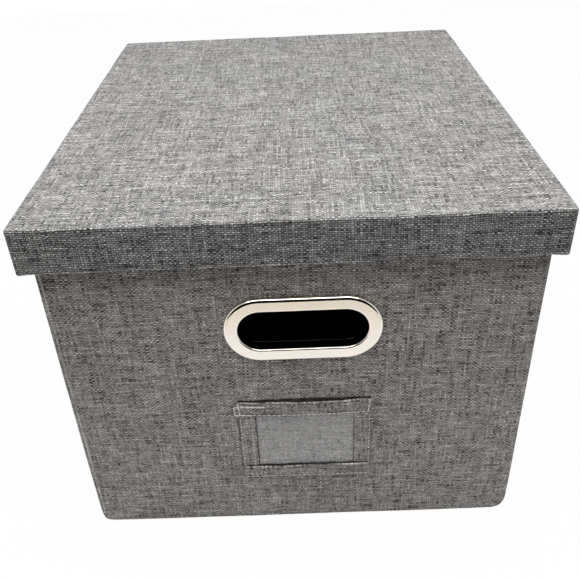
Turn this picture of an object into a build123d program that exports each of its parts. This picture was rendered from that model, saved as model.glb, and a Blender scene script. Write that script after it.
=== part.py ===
"""Linen-covered storage file box with a lift-off lid.

The box is four greyboard walls in a sewn linen cover, with a dark lining and a loose base insert.
Oval metal grommets make the two hand holes, pressed-on metal channels carry hanging folders, and
a clear label pocket is sewn on the front.

Millimetres, +Z up, front towards -Y, origin at the middle of the underside.
"""
import os

from build123d import *

# ---- box body: outside sizes over the cloth ----
BODY_WIDTH = 316.0
BODY_DEPTH = 384.0
BODY_HEIGHT = 263.4
BODY_CORNER_RADIUS = 5.0
BASE_EDGE_RADIUS = 4.0

# ---- layers of the walls, outside to inside ----
COVER_CLOTH = 0.8
WALL_BOARD = 3.0
LINING_CLOTH = 0.6
LINING_CORNER_RADIUS = 6.0
LINING_EDGE_RADIUS = 1.0
HEM_DEPTH = 12.0

# ---- lower corners of the wall boards, cut round so that the cloth corners stay soft ----
WALL_BOARD_CORNER_RADIUS = 12.0

# ---- side walls stand lower, so that folder hooks pass under the lid ----
SIDE_WALL_DROP = 8.0

# ---- lift-off lid ----
LID_GAP = 3.4
LID_SEAT_GAP = 0.2
LID_BOARD = 2.0
LID_RIM_DEPTH = 30.0
LID_HEM_DEPTH = 14.0
LID_CORNER_RADIUS = 3.0
LID_EDGE_RADIUS = 2.0
LID_MOUTH_RADIUS = 1.5

# ---- hanging-folder channels ----
RAIL_METAL = 0.8
RAIL_LEG = 12.0
RAIL_FIT = 0.05
RAIL_END_GAP = 1.0
RAIL_EDGE_RADIUS = 0.7

# ---- oval hand-hole grommets ----
GROMMET_LENGTH = 103.0
GROMMET_HEIGHT = 49.0
GRIP_LENGTH = 84.4
GRIP_HEIGHT = 30.0
GROMMET_PROUD = 3.0
GROMMET_METAL = 1.0
GROMMET_OUTER_ROUND = 1.8
GROMMET_LIP_ROUND = 0.8
GROMMET_HOLE_CLEARANCE = 0.4
GROMMET_ROLL_REACH = 1.5
GROMMET_ROLL_DEPTH = 1.0
WASHER_REACH = 6.0
WASHER_THICKNESS = 1.0
WASHER_FIT = 0.1
GROMMET_CENTRE_Z = 185.0
FRONT_GROMMET_X = 5.5
BACK_GROMMET_X = 0.0

# ---- label pocket on the front wall ----
VIEW_WIDTH = 69.0
VIEW_HEIGHT = 50.5
VIEW_BOTTOM_Z = 60.0
LABEL_CENTRE_X = 4.5
WINDOW_TUCK = 4.0
WINDOW_FILM = 0.3
WINDOW_FIT = 0.02
CARD_GAP = 0.8
STRIP_WIDTH = 12.3
STRIP_THICKNESS = 1.8
TOP_STRIP_OVERHANG = 1.2

# ---- sewing thread on the label pocket ----
STITCH_LENGTH = 2.4
STITCH_PITCH = 3.4
THREAD_WIDTH = 0.5
THREAD_HEIGHT = 0.3
STITCH_INSET = 1.6

# ---- loose base insert ----
INSERT_BOARD = 3.0
INSERT_WRAP = 0.6
INSERT_SIDE_GAP = 0.8
INSERT_SEAT_GAP = 0.2
INSERT_CORNER_RADIUS = 10.0
PULL_TAB_WIDTH = 25.0
PULL_TAB_LENGTH = 45.0
PULL_TAB_THICKNESS = 1.4
PULL_TAB_INSET = 12.0

# ---- planes worked out from the sizes above ----
HALF_WIDTH = BODY_WIDTH / 2
HALF_DEPTH = BODY_DEPTH / 2
BOARD_INSET = COVER_CLOTH + WALL_BOARD
HEM_INSET = BOARD_INSET + COVER_CLOTH
LINING_INSET = BOARD_INSET + LINING_CLOTH
SIDE_HEIGHT = BODY_HEIGHT - SIDE_WALL_DROP
WALL_BOARD_END_X = HALF_WIDTH - BODY_CORNER_RADIUS
WALL_BOARD_END_Y = HALF_DEPTH - BODY_CORNER_RADIUS
FLOOR_TOP = COVER_CLOTH + LINING_CLOTH

LID_OVERHANG = LID_GAP + COVER_CLOTH + LID_BOARD + COVER_CLOTH
LID_WIDTH = BODY_WIDTH + 2 * LID_OVERHANG
LID_DEPTH = BODY_DEPTH + 2 * LID_OVERHANG
LID_UNDERSIDE = BODY_HEIGHT + LID_SEAT_GAP
LID_BOARD_BOTTOM = LID_UNDERSIDE + LINING_CLOTH
LID_BOARD_TOP = LID_BOARD_BOTTOM + LID_BOARD
LID_TOP = LID_BOARD_TOP + COVER_CLOTH
RIM_BOTTOM = LID_TOP - LID_RIM_DEPTH
LID_HEM_TOP = RIM_BOTTOM + LID_HEM_DEPTH

COLLAR_LENGTH = GRIP_LENGTH + 2 * GROMMET_METAL
COLLAR_HEIGHT = GRIP_HEIGHT + 2 * GROMMET_METAL
WASHER_FACE = LINING_INSET + WASHER_THICKNESS
ROLL_FACE = WASHER_FACE + GROMMET_ROLL_DEPTH

VIEW_TOP_Z = VIEW_BOTTOM_Z + VIEW_HEIGHT
VIEW_LEFT_X = LABEL_CENTRE_X - VIEW_WIDTH / 2
VIEW_RIGHT_X = LABEL_CENTRE_X + VIEW_WIDTH / 2
STRIP_FACE_Y = -HALF_DEPTH - STRIP_THICKNESS


def block(x_span, y_span, z_span):
    """A square-cornered block between the given low and high places."""
    sizes = [high - low for low, high in (x_span, y_span, z_span)]
    middles = [(high + low) / 2 for low, high in (x_span, y_span, z_span)]
    return Pos(*middles) * Box(*sizes)


def rounded_block(width, depth, z_span, corner_radius):
    """An upright block, centred on the origin, with rounded upright corners."""
    low, high = z_span
    outline = RectangleRounded(width, depth, corner_radius)
    return extrude(Pos(0, 0, low) * outline, high - low)


def dished_block(width, depth, z_span, corner_radius, edge_radius, rounded_end):
    """A rounded block whose bottom (Axis.Z low) or top edges are rounded as well."""
    solid = rounded_block(width, depth, z_span, corner_radius)
    faces = solid.faces().sort_by(Axis.Z)
    end_face = faces[0] if rounded_end == "bottom" else faces[-1]
    return fillet(end_face.edges(), edge_radius)


def oval_prism(length, height, near_y, far_y, centre_x):
    """A slot-shaped prism through a front or back wall, lying along Y."""
    outline = SlotOverall(length, height)
    plane = Plane(origin=(centre_x, near_y, GROMMET_CENTRE_Z), x_dir=(1, 0, 0), z_dir=(0, 1, 0))
    return extrude(plane * outline, far_y - near_y)


def grommet_hole(centre_x, side):
    """The hole that a grommet's collar passes through, side -1 at the front and 1 at the back."""
    outer_y = side * (HALF_DEPTH + GROMMET_PROUD)
    inner_y = side * (HALF_DEPTH - ROLL_FACE)
    length = COLLAR_LENGTH + 2 * GROMMET_HOLE_CLEARANCE
    height = COLLAR_HEIGHT + 2 * GROMMET_HOLE_CLEARANCE
    return oval_prism(length, height, min(outer_y, inner_y), max(outer_y, inner_y), centre_x)


def both_grommet_holes():
    """The hand holes of the front and back walls together."""
    return [grommet_hole(FRONT_GROMMET_X, -1), grommet_hole(BACK_GROMMET_X, 1)]


# ---- box body ----
def round_lower_corners(board, through):
    """A wall board with its two lower corners cut round; through is the axis of its thickness."""
    lower_corners = board.edges().filter_by(through).group_by(Axis.Z)[0]
    return fillet(lower_corners, WALL_BOARD_CORNER_RADIUS)


def end_wall_board(side, centre_x):
    """The greyboard of the front (side -1) or back (side 1) wall, with its hand hole."""
    outer_y = side * (HALF_DEPTH - COVER_CLOTH)
    inner_y = side * (HALF_DEPTH - BOARD_INSET)
    y_span = (min(outer_y, inner_y), max(outer_y, inner_y))
    x_span = (-WALL_BOARD_END_X, WALL_BOARD_END_X)
    board = block(x_span, y_span, (BASE_EDGE_RADIUS, BODY_HEIGHT - COVER_CLOTH))
    return round_lower_corners(board, Axis.Y) - grommet_hole(centre_x, side)


def side_wall_board(side):
    """The greyboard of the left (side -1) or right (side 1) wall, lower than the end walls."""
    outer_x = side * (HALF_WIDTH - COVER_CLOTH)
    inner_x = side * (HALF_WIDTH - BOARD_INSET)
    x_span = (min(outer_x, inner_x), max(outer_x, inner_x))
    y_span = (-WALL_BOARD_END_Y, WALL_BOARD_END_Y)
    board = block(x_span, y_span, (BASE_EDGE_RADIUS, SIDE_HEIGHT - COVER_CLOTH))
    return round_lower_corners(board, Axis.X)


def side_hem(side):
    """The cover's fold over the top of a side wall, where a folder channel sits."""
    outer_x = side * HALF_WIDTH
    inner_x = side * (HALF_WIDTH - HEM_INSET)
    x_span = (min(outer_x, inner_x), max(outer_x, inner_x))
    y_span = (-WALL_BOARD_END_Y, WALL_BOARD_END_Y)
    return block(x_span, y_span, (SIDE_HEIGHT - HEM_DEPTH, SIDE_HEIGHT))


def side_notch(side):
    """The room over a side wall that the folder hooks pass through."""
    outer_x = side * (HALF_WIDTH + LID_GAP)
    inner_x = side * (HALF_WIDTH - HEM_INSET)
    x_span = (min(outer_x, inner_x), max(outer_x, inner_x))
    y_span = (-WALL_BOARD_END_Y, WALL_BOARD_END_Y)
    return block(x_span, y_span, (SIDE_HEIGHT, LID_UNDERSIDE))


def outer_cover(boards):
    """The sewn linen band round the walls, folded over their tops into a hem."""
    outer = rounded_block(
        BODY_WIDTH, BODY_DEPTH, (BASE_EDGE_RADIUS, BODY_HEIGHT), BODY_CORNER_RADIUS)
    inside = rounded_block(
        BODY_WIDTH - 2 * COVER_CLOTH, BODY_DEPTH - 2 * COVER_CLOTH,
        (BASE_EDGE_RADIUS, BODY_HEIGHT - HEM_DEPTH), BODY_CORNER_RADIUS - COVER_CLOTH)
    mouth = rounded_block(
        BODY_WIDTH - 2 * HEM_INSET, BODY_DEPTH - 2 * HEM_INSET,
        (BODY_HEIGHT - HEM_DEPTH, BODY_HEIGHT), LINING_CORNER_RADIUS - LINING_CLOTH)
    cover = outer - inside - mouth
    for side in (-1, 1):
        cover = cover - side_notch(side)
        cover = cover + side_hem(side)
    for cut in boards + both_grommet_holes():
        cover = cover - cut
    return cover


def cover_base():
    """The linen bottom panel, with the curve that turns up into the walls."""
    outer = dished_block(
        BODY_WIDTH, BODY_DEPTH, (0, BODY_HEIGHT), BODY_CORNER_RADIUS, BASE_EDGE_RADIUS, "bottom")
    inside = dished_block(
        BODY_WIDTH - 2 * COVER_CLOTH, BODY_DEPTH - 2 * COVER_CLOTH, (COVER_CLOTH, BODY_HEIGHT),
        BODY_CORNER_RADIUS - COVER_CLOTH, BASE_EDGE_RADIUS - COVER_CLOTH, "bottom")
    above = block(
        (-HALF_WIDTH, HALF_WIDTH), (-HALF_DEPTH, HALF_DEPTH), (BASE_EDGE_RADIUS, BODY_HEIGHT))
    return outer - inside - above


def lining_bag(cover):
    """The dark inner bag: floor and four walls, up to the hem."""
    width = BODY_WIDTH - 2 * BOARD_INSET
    depth = BODY_DEPTH - 2 * BOARD_INSET
    bag = dished_block(
        width, depth, (COVER_CLOTH, BODY_HEIGHT - HEM_DEPTH),
        LINING_CORNER_RADIUS, LINING_EDGE_RADIUS, "bottom")
    room = rounded_block(
        width - 2 * LINING_CLOTH, depth - 2 * LINING_CLOTH, (FLOOR_TOP, BODY_HEIGHT),
        LINING_CORNER_RADIUS - LINING_CLOTH)
    bag = bag - room
    for cut in [cover] + both_grommet_holes():
        bag = bag - cut
    return bag


def folder_rail(side):
    """A metal channel pressed over a side wall, for the hooks of hanging folders."""
    wall_middle = HALF_WIDTH - HEM_INSET / 2
    half_slot = HEM_INSET / 2 + RAIL_FIT
    half_outside = half_slot + RAIL_METAL
    end_y = HALF_DEPTH - HEM_INSET - LINING_CORNER_RADIUS - RAIL_END_GAP
    z_span = (SIDE_HEIGHT + RAIL_METAL - RAIL_LEG, SIDE_HEIGHT + RAIL_METAL)
    outside = block((-half_outside, half_outside), (-end_y, end_y), z_span)
    top_edges = outside.faces().sort_by(Axis.Z)[-1].edges().filter_by(Axis.Y)
    outside = fillet(top_edges, RAIL_EDGE_RADIUS)
    slot = block((-half_slot, half_slot), (-end_y, end_y), (z_span[0], SIDE_HEIGHT))
    return Pos(side * wall_middle, 0, 0) * (outside - slot)


# ---- grommets ----
def grommet_plate(side, centre_x):
    """One pressed metal grommet: a hollow oval flange, a collar and its rolled inner end."""
    face_y = -HALF_DEPTH - GROMMET_PROUD
    wall_y = -HALF_DEPTH
    washer_y = -HALF_DEPTH + WASHER_FACE
    roll_y = -HALF_DEPTH + ROLL_FACE
    flange = oval_prism(GROMMET_LENGTH, GROMMET_HEIGHT, face_y, wall_y, 0)
    front_face = flange.faces().sort_by(Axis.Y)[0]
    flange = fillet(front_face.edges(), GROMMET_OUTER_ROUND)
    hollow = oval_prism(
        GROMMET_LENGTH - 2 * GROMMET_METAL, GROMMET_HEIGHT - 2 * GROMMET_METAL,
        face_y + GROMMET_METAL, wall_y, 0)
    collar = oval_prism(COLLAR_LENGTH, COLLAR_HEIGHT, face_y + GROMMET_METAL, roll_y, 0)
    roll = oval_prism(
        COLLAR_LENGTH + 2 * GROMMET_ROLL_REACH, COLLAR_HEIGHT + 2 * GROMMET_ROLL_REACH,
        washer_y, roll_y, 0)
    grip = oval_prism(GRIP_LENGTH, GRIP_HEIGHT, face_y, roll_y, 0)
    plate = (flange - hollow) + collar + roll - grip
    lip_edges = plate.faces().sort_by(Axis.Y)[0].inner_wires()[0].edges()
    plate = fillet(lip_edges, GROMMET_LIP_ROUND)
    return Pos(centre_x, 0, 0) * turned_to(side, plate)


def grommet_washer(side, centre_x):
    """The flat oval washer that a grommet's rolled end clamps against the lining."""
    near_y = -HALF_DEPTH + LINING_INSET
    far_y = -HALF_DEPTH + WASHER_FACE
    outside = oval_prism(
        COLLAR_LENGTH + 2 * WASHER_REACH, COLLAR_HEIGHT + 2 * WASHER_REACH, near_y, far_y, 0)
    inside = oval_prism(
        COLLAR_LENGTH + 2 * WASHER_FIT, COLLAR_HEIGHT + 2 * WASHER_FIT, near_y, far_y, 0)
    return Pos(centre_x, 0, 0) * turned_to(side, outside - inside)


def turned_to(side, solid):
    """A piece made for the front wall, turned round for the back wall where side is 1."""
    return solid if side < 0 else Rot(0, 0, 180) * solid


# ---- label pocket ----
def label_window():
    """The clear film, tucked under the strips on all four sides."""
    x_span = (VIEW_LEFT_X - WINDOW_TUCK, VIEW_RIGHT_X + WINDOW_TUCK)
    y_span = (-HALF_DEPTH - CARD_GAP - WINDOW_FILM, -HALF_DEPTH - CARD_GAP)
    z_span = (VIEW_BOTTOM_Z - WINDOW_TUCK, VIEW_TOP_Z + WINDOW_TUCK)
    return block(x_span, y_span, z_span)


def window_slot():
    """The room that the window's edge takes inside the strips."""
    x_span = (VIEW_LEFT_X - WINDOW_TUCK - WINDOW_FIT, VIEW_RIGHT_X + WINDOW_TUCK + WINDOW_FIT)
    y_span = (-HALF_DEPTH - CARD_GAP - WINDOW_FILM - WINDOW_FIT, -HALF_DEPTH - CARD_GAP + WINDOW_FIT)
    z_span = (VIEW_BOTTOM_Z - WINDOW_TUCK - WINDOW_FIT, VIEW_TOP_Z + WINDOW_TUCK + WINDOW_FIT)
    return block(x_span, y_span, z_span)


def label_strips():
    """The four folded linen strips, by node name; the top one stands off to leave a mouth."""
    outer_left = VIEW_LEFT_X - STRIP_WIDTH
    outer_right = VIEW_RIGHT_X + STRIP_WIDTH
    sewn_y = (STRIP_FACE_Y, -HALF_DEPTH)
    mouth_y = (STRIP_FACE_Y, -HALF_DEPTH - CARD_GAP)
    side_z = (VIEW_BOTTOM_Z, VIEW_TOP_Z)
    top_x = (outer_left - TOP_STRIP_OVERHANG, outer_right + TOP_STRIP_OVERHANG)
    strips = {
        "label_strip_left": block((outer_left, VIEW_LEFT_X), sewn_y, side_z),
        "label_strip_right": block((VIEW_RIGHT_X, outer_right), sewn_y, side_z),
        "label_strip_bottom": block(
            (outer_left, outer_right), sewn_y, (VIEW_BOTTOM_Z - STRIP_WIDTH, VIEW_BOTTOM_Z)),
        "label_strip_top": block(top_x, mouth_y, (VIEW_TOP_Z, VIEW_TOP_Z + STRIP_WIDTH)),
    }
    return {node: strip - window_slot() for node, strip in strips.items()}


def stitch_row(start, end, along_x):
    """A row of stitches on the strips' face, from one (x, z) place to another."""
    length = (end[0] - start[0]) if along_x else (end[1] - start[1])
    count = max(1, int(length // STITCH_PITCH))
    first = (length - (count - 1) * STITCH_PITCH) / 2
    size_x = STITCH_LENGTH if along_x else THREAD_WIDTH
    size_z = THREAD_WIDTH if along_x else STITCH_LENGTH
    stitch = Box(size_x, THREAD_HEIGHT, size_z)
    stitches = []
    for index in range(count):
        step = first + index * STITCH_PITCH
        x = start[0] + step if along_x else start[0]
        z = start[1] if along_x else start[1] + step
        stitches.append(Pos(x, STRIP_FACE_Y - THREAD_HEIGHT / 2, z) * stitch)
    return stitches


def label_stitching():
    """The visible thread: two rows on the top strip and one along the bottom strip, one down each
    outer side, and one more down the left side beside the window.
    """
    left = VIEW_LEFT_X - STRIP_WIDTH + STITCH_INSET
    right = VIEW_RIGHT_X + STRIP_WIDTH - STITCH_INSET
    low = VIEW_BOTTOM_Z - STRIP_WIDTH + STITCH_INSET
    top_low = VIEW_TOP_Z + STITCH_INSET
    top_high = VIEW_TOP_Z + STRIP_WIDTH - STITCH_INSET
    view_left = VIEW_LEFT_X - STITCH_INSET
    stitches = stitch_row((left, top_high), (right, top_high), True)
    stitches += stitch_row((left, top_low), (right, top_low), True)
    stitches += stitch_row((left, low), (right, low), True)
    stitches += stitch_row((left, VIEW_BOTTOM_Z), (left, VIEW_TOP_Z), False)
    stitches += stitch_row((view_left, VIEW_BOTTOM_Z), (view_left, VIEW_TOP_Z), False)
    stitches += stitch_row((right, VIEW_BOTTOM_Z), (right, VIEW_TOP_Z), False)
    return Compound(children=stitches)


# ---- lid ----
def lid_top_board():
    """The lid's top greyboard, its upper edge rounded under the cloth."""
    return dished_block(
        LID_WIDTH - 2 * COVER_CLOTH, LID_DEPTH - 2 * COVER_CLOTH, (LID_BOARD_BOTTOM, LID_BOARD_TOP),
        LID_CORNER_RADIUS - COVER_CLOTH, LID_EDGE_RADIUS - COVER_CLOTH, "top")


def lid_rim_boards():
    """The four rim greyboards, by node name, each stopping where the cloth turns the corner."""
    end_x = LID_WIDTH / 2 - LID_CORNER_RADIUS
    end_y = LID_DEPTH / 2 - LID_CORNER_RADIUS
    outer_x = LID_WIDTH / 2 - COVER_CLOTH
    outer_y = LID_DEPTH / 2 - COVER_CLOTH
    z_span = (RIM_BOTTOM + COVER_CLOTH, LID_BOARD_BOTTOM)
    return {
        "lid_front_board": block((-end_x, end_x), (-outer_y, -outer_y + LID_BOARD), z_span),
        "lid_back_board": block((-end_x, end_x), (outer_y - LID_BOARD, outer_y), z_span),
        "lid_left_board": block((-outer_x, -outer_x + LID_BOARD), (-end_y, end_y), z_span),
        "lid_right_board": block((outer_x - LID_BOARD, outer_x), (-end_y, end_y), z_span),
    }


def lid_cover(rim_boards):
    """The lid's linen: over the top, down the rim and folded up inside it."""
    outer = dished_block(
        LID_WIDTH, LID_DEPTH, (RIM_BOTTOM, LID_TOP), LID_CORNER_RADIUS, LID_EDGE_RADIUS, "top")
    board_room = dished_block(
        LID_WIDTH - 2 * COVER_CLOTH, LID_DEPTH - 2 * COVER_CLOTH, (LID_HEM_TOP, LID_BOARD_TOP),
        LID_CORNER_RADIUS - COVER_CLOTH, LID_EDGE_RADIUS - COVER_CLOTH, "top")
    mouth = rounded_block(
        BODY_WIDTH + 2 * LID_GAP, BODY_DEPTH + 2 * LID_GAP, (RIM_BOTTOM, LID_HEM_TOP),
        LID_MOUTH_RADIUS)
    cover = outer - board_room - mouth
    for board in rim_boards:
        cover = cover - board
    return cover


def lid_lining():
    """The dark sheet under the lid's top, turned down inside the rim to the hem."""
    width = LID_WIDTH - 2 * (COVER_CLOTH + LID_BOARD)
    depth = LID_DEPTH - 2 * (COVER_CLOTH + LID_BOARD)
    outer = rounded_block(width, depth, (LID_HEM_TOP, LID_BOARD_BOTTOM), LID_MOUTH_RADIUS)
    room = rounded_block(
        width - 2 * LINING_CLOTH, depth - 2 * LINING_CLOTH, (LID_HEM_TOP, LID_UNDERSIDE),
        LID_MOUTH_RADIUS - LINING_CLOTH)
    return outer - room


# ---- loose base insert ----
def insert_sizes():
    """The insert's outside width, depth and underside: it passes the rails and the grommets."""
    width = BODY_WIDTH - 2 * (HEM_INSET + RAIL_FIT + RAIL_METAL + INSERT_SIDE_GAP)
    depth = BODY_DEPTH - 2 * (ROLL_FACE + INSERT_SIDE_GAP)
    return width, depth, FLOOR_TOP + INSERT_SEAT_GAP


def insert_board():
    """The stiff base board inside its cloth wrap."""
    width, depth, underside = insert_sizes()
    low = underside + INSERT_WRAP
    return rounded_block(
        width - 2 * INSERT_WRAP, depth - 2 * INSERT_WRAP, (low, low + INSERT_BOARD),
        INSERT_CORNER_RADIUS - INSERT_WRAP)


def insert_cover(board):
    """The cloth glued round the base board."""
    width, depth, underside = insert_sizes()
    top = underside + INSERT_BOARD + 2 * INSERT_WRAP
    return rounded_block(width, depth, (underside, top), INSERT_CORNER_RADIUS) - board


def insert_pull_tab():
    """The folded ribbon, lying flat at the front, that lifts the insert out."""
    depth, underside = insert_sizes()[1:]
    low = underside + INSERT_BOARD + 2 * INSERT_WRAP
    near = -depth / 2 + PULL_TAB_INSET
    return block(
        (-PULL_TAB_WIDTH / 2, PULL_TAB_WIDTH / 2), (near, near + PULL_TAB_LENGTH),
        (low, low + PULL_TAB_THICKNESS))


def box_nodes():
    """Every piece that stays with the box, by node name."""
    boards = {
        "front_board": end_wall_board(-1, FRONT_GROMMET_X),
        "back_board": end_wall_board(1, BACK_GROMMET_X),
        "left_board": side_wall_board(-1),
        "right_board": side_wall_board(1),
    }
    cover = outer_cover(list(boards.values()))
    pieces = dict(boards)
    pieces["outer_cover"] = cover
    pieces["cover_base"] = cover_base()
    pieces["lining_bag"] = lining_bag(cover)
    pieces["left_folder_rail"] = folder_rail(-1)
    pieces["right_folder_rail"] = folder_rail(1)
    pieces["front_handle_grommet"] = grommet_plate(-1, FRONT_GROMMET_X)
    pieces["front_handle_washer"] = grommet_washer(-1, FRONT_GROMMET_X)
    pieces["back_handle_grommet"] = grommet_plate(1, BACK_GROMMET_X)
    pieces["back_handle_washer"] = grommet_washer(1, BACK_GROMMET_X)
    pieces["label_window"] = label_window()
    pieces.update(label_strips())
    pieces["label_stitching"] = label_stitching()
    return pieces


def lid_nodes():
    """Every piece that lifts off with the lid, by node name."""
    rim_boards = lid_rim_boards()
    pieces = dict(rim_boards)
    pieces["lid_top_board"] = lid_top_board()
    pieces["lid_cover"] = lid_cover(list(rim_boards.values()))
    pieces["lid_lining"] = lid_lining()
    return pieces


def insert_nodes():
    """Every piece of the loose base insert, by node name."""
    board = insert_board()
    return {
        "insert_board": board,
        "insert_cover": insert_cover(board),
        "insert_pull_tab": insert_pull_tab(),
    }


def main():
    """Build every node and write one STEP file for each."""
    os.makedirs("parts", exist_ok=True)
    pieces = {**box_nodes(), **lid_nodes(), **insert_nodes()}
    for node, solid in pieces.items():
        export_step(solid, f"parts/{node}.step")
        print(node, "volume", round(solid.volume, 1))


main()
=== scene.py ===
"""Dress a linen file box in cloth, metal, film and thread, and light it for its picture.

Everything is in metres in the frame's own axes: +Z up, the front towards -Y, the box standing on
z = 0. The cloth, the grommets and the label pocket are built here round the frame's pieces, and
the folder rails, washers and boards are the frame's own.
"""

import logging
import math
from dataclasses import dataclass, field
from enum import Enum
from typing import Callable, Iterable, Sequence, Union

import bmesh
import bpy
from bmesh.types import BMEdge, BMesh, BMFace, BMVert
from mathutils import Matrix, Vector, noise


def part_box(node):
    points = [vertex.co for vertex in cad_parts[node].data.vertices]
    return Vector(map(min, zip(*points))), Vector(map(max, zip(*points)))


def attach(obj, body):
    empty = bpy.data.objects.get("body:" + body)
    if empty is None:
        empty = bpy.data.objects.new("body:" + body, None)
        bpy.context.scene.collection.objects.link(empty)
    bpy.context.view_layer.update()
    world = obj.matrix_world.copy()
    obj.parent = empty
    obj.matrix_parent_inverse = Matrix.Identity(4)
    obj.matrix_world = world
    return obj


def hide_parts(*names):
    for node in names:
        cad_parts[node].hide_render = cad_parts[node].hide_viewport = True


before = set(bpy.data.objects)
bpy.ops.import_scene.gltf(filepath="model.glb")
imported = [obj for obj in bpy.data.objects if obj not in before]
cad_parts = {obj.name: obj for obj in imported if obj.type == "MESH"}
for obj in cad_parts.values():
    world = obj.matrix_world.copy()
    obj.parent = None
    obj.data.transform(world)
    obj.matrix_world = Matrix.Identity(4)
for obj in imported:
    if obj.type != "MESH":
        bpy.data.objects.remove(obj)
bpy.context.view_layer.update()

LOG = logging.getLogger("file_box")
MM = 0.001
TINY = 1e-5
LINEN_SKIN = 0.8 * MM * 0.9
LINING_SKIN = 0.55 * MM
UV_NAME = "cloth"
WHITE = (1.0, 1.0, 1.0)
CLEAR_RAYS = ("Is Glossy Ray", "Is Transmission Ray")

Colour = tuple[float, float, float]
Spot = tuple[float, float]
Triple = tuple[float, float, float]


class Body(Enum):
    """The bodies of the frame that a piece can ride on."""

    BOX = "box"
    LID = "lid"
    INSERT = "base_insert"


class Slot(Enum):
    """The record's finishes that a piece can take."""

    LINEN = "linen"
    LID_LINEN = "lid_linen"
    THREAD = "thread"
    WINDOW = "window"
    LINING = "lining"
    RIBBON = "ribbon"
    NICKEL = "nickel"


class OpenEnd(Enum):
    """Which end of a cloth shell is left open."""

    TOP = 1
    BOTTOM = -1


class WallSide(Enum):
    """The front or the back wall, by the sign of its Y."""

    FRONT = -1
    BACK = 1

    def face(self, place: "Place") -> float:
        """The Y of a place's face on this side."""
        return place.low.y if self is WallSide.FRONT else place.high.y


# ---- materials ----
class Signal:
    """A number that varies over a surface; arithmetic on it adds nodes to its recipe."""

    def __init__(self, recipe: "Recipe", socket: bpy.types.NodeSocket) -> None:
        """Keep the recipe that the signal belongs to and the socket that it comes from."""
        self.recipe = recipe
        self.socket = socket

    def __add__(self, other: "Number") -> "Signal":
        """The sum of two signals."""
        return self.recipe.math("ADD", self, other)

    def __sub__(self, other: "Number") -> "Signal":
        """This signal less another."""
        return self.recipe.math("SUBTRACT", self, other)

    def __rsub__(self, other: "Number") -> "Signal":
        """A number less this signal."""
        return self.recipe.math("SUBTRACT", other, self)

    def __mul__(self, other: "Number") -> "Signal":
        """The product of two signals."""
        return self.recipe.math("MULTIPLY", self, other)

    def __truediv__(self, other: "Number") -> "Signal":
        """This signal over another."""
        return self.recipe.math("DIVIDE", self, other)

    def __mod__(self, other: "Number") -> "Signal":
        """What is left over after whole steps of a number."""
        return self.recipe.math("FLOORED_MODULO", self, other)

    __radd__ = __add__
    __rmul__ = __mul__

    def floor(self) -> "Signal":
        """The whole number below."""
        return self.recipe.math("FLOOR", self)

    def cos(self) -> "Signal":
        """The cosine, in radians."""
        return self.recipe.math("COSINE", self)

    def above(self, other: "Number") -> "Signal":
        """1 where this signal is the greater, and 0 elsewhere."""
        return self.recipe.math("GREATER_THAN", self, other)

    def most(self, other: "Number") -> "Signal":
        """The greater of two signals."""
        return self.recipe.math("MAXIMUM", self, other)

    def between(self, low: float, high: float) -> "Signal":
        """0 below a low value, 1 above a high one, and a smooth rise from one to the other."""
        return self.recipe.rise(self, low, high)


Number = Union[float, Signal]


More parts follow.
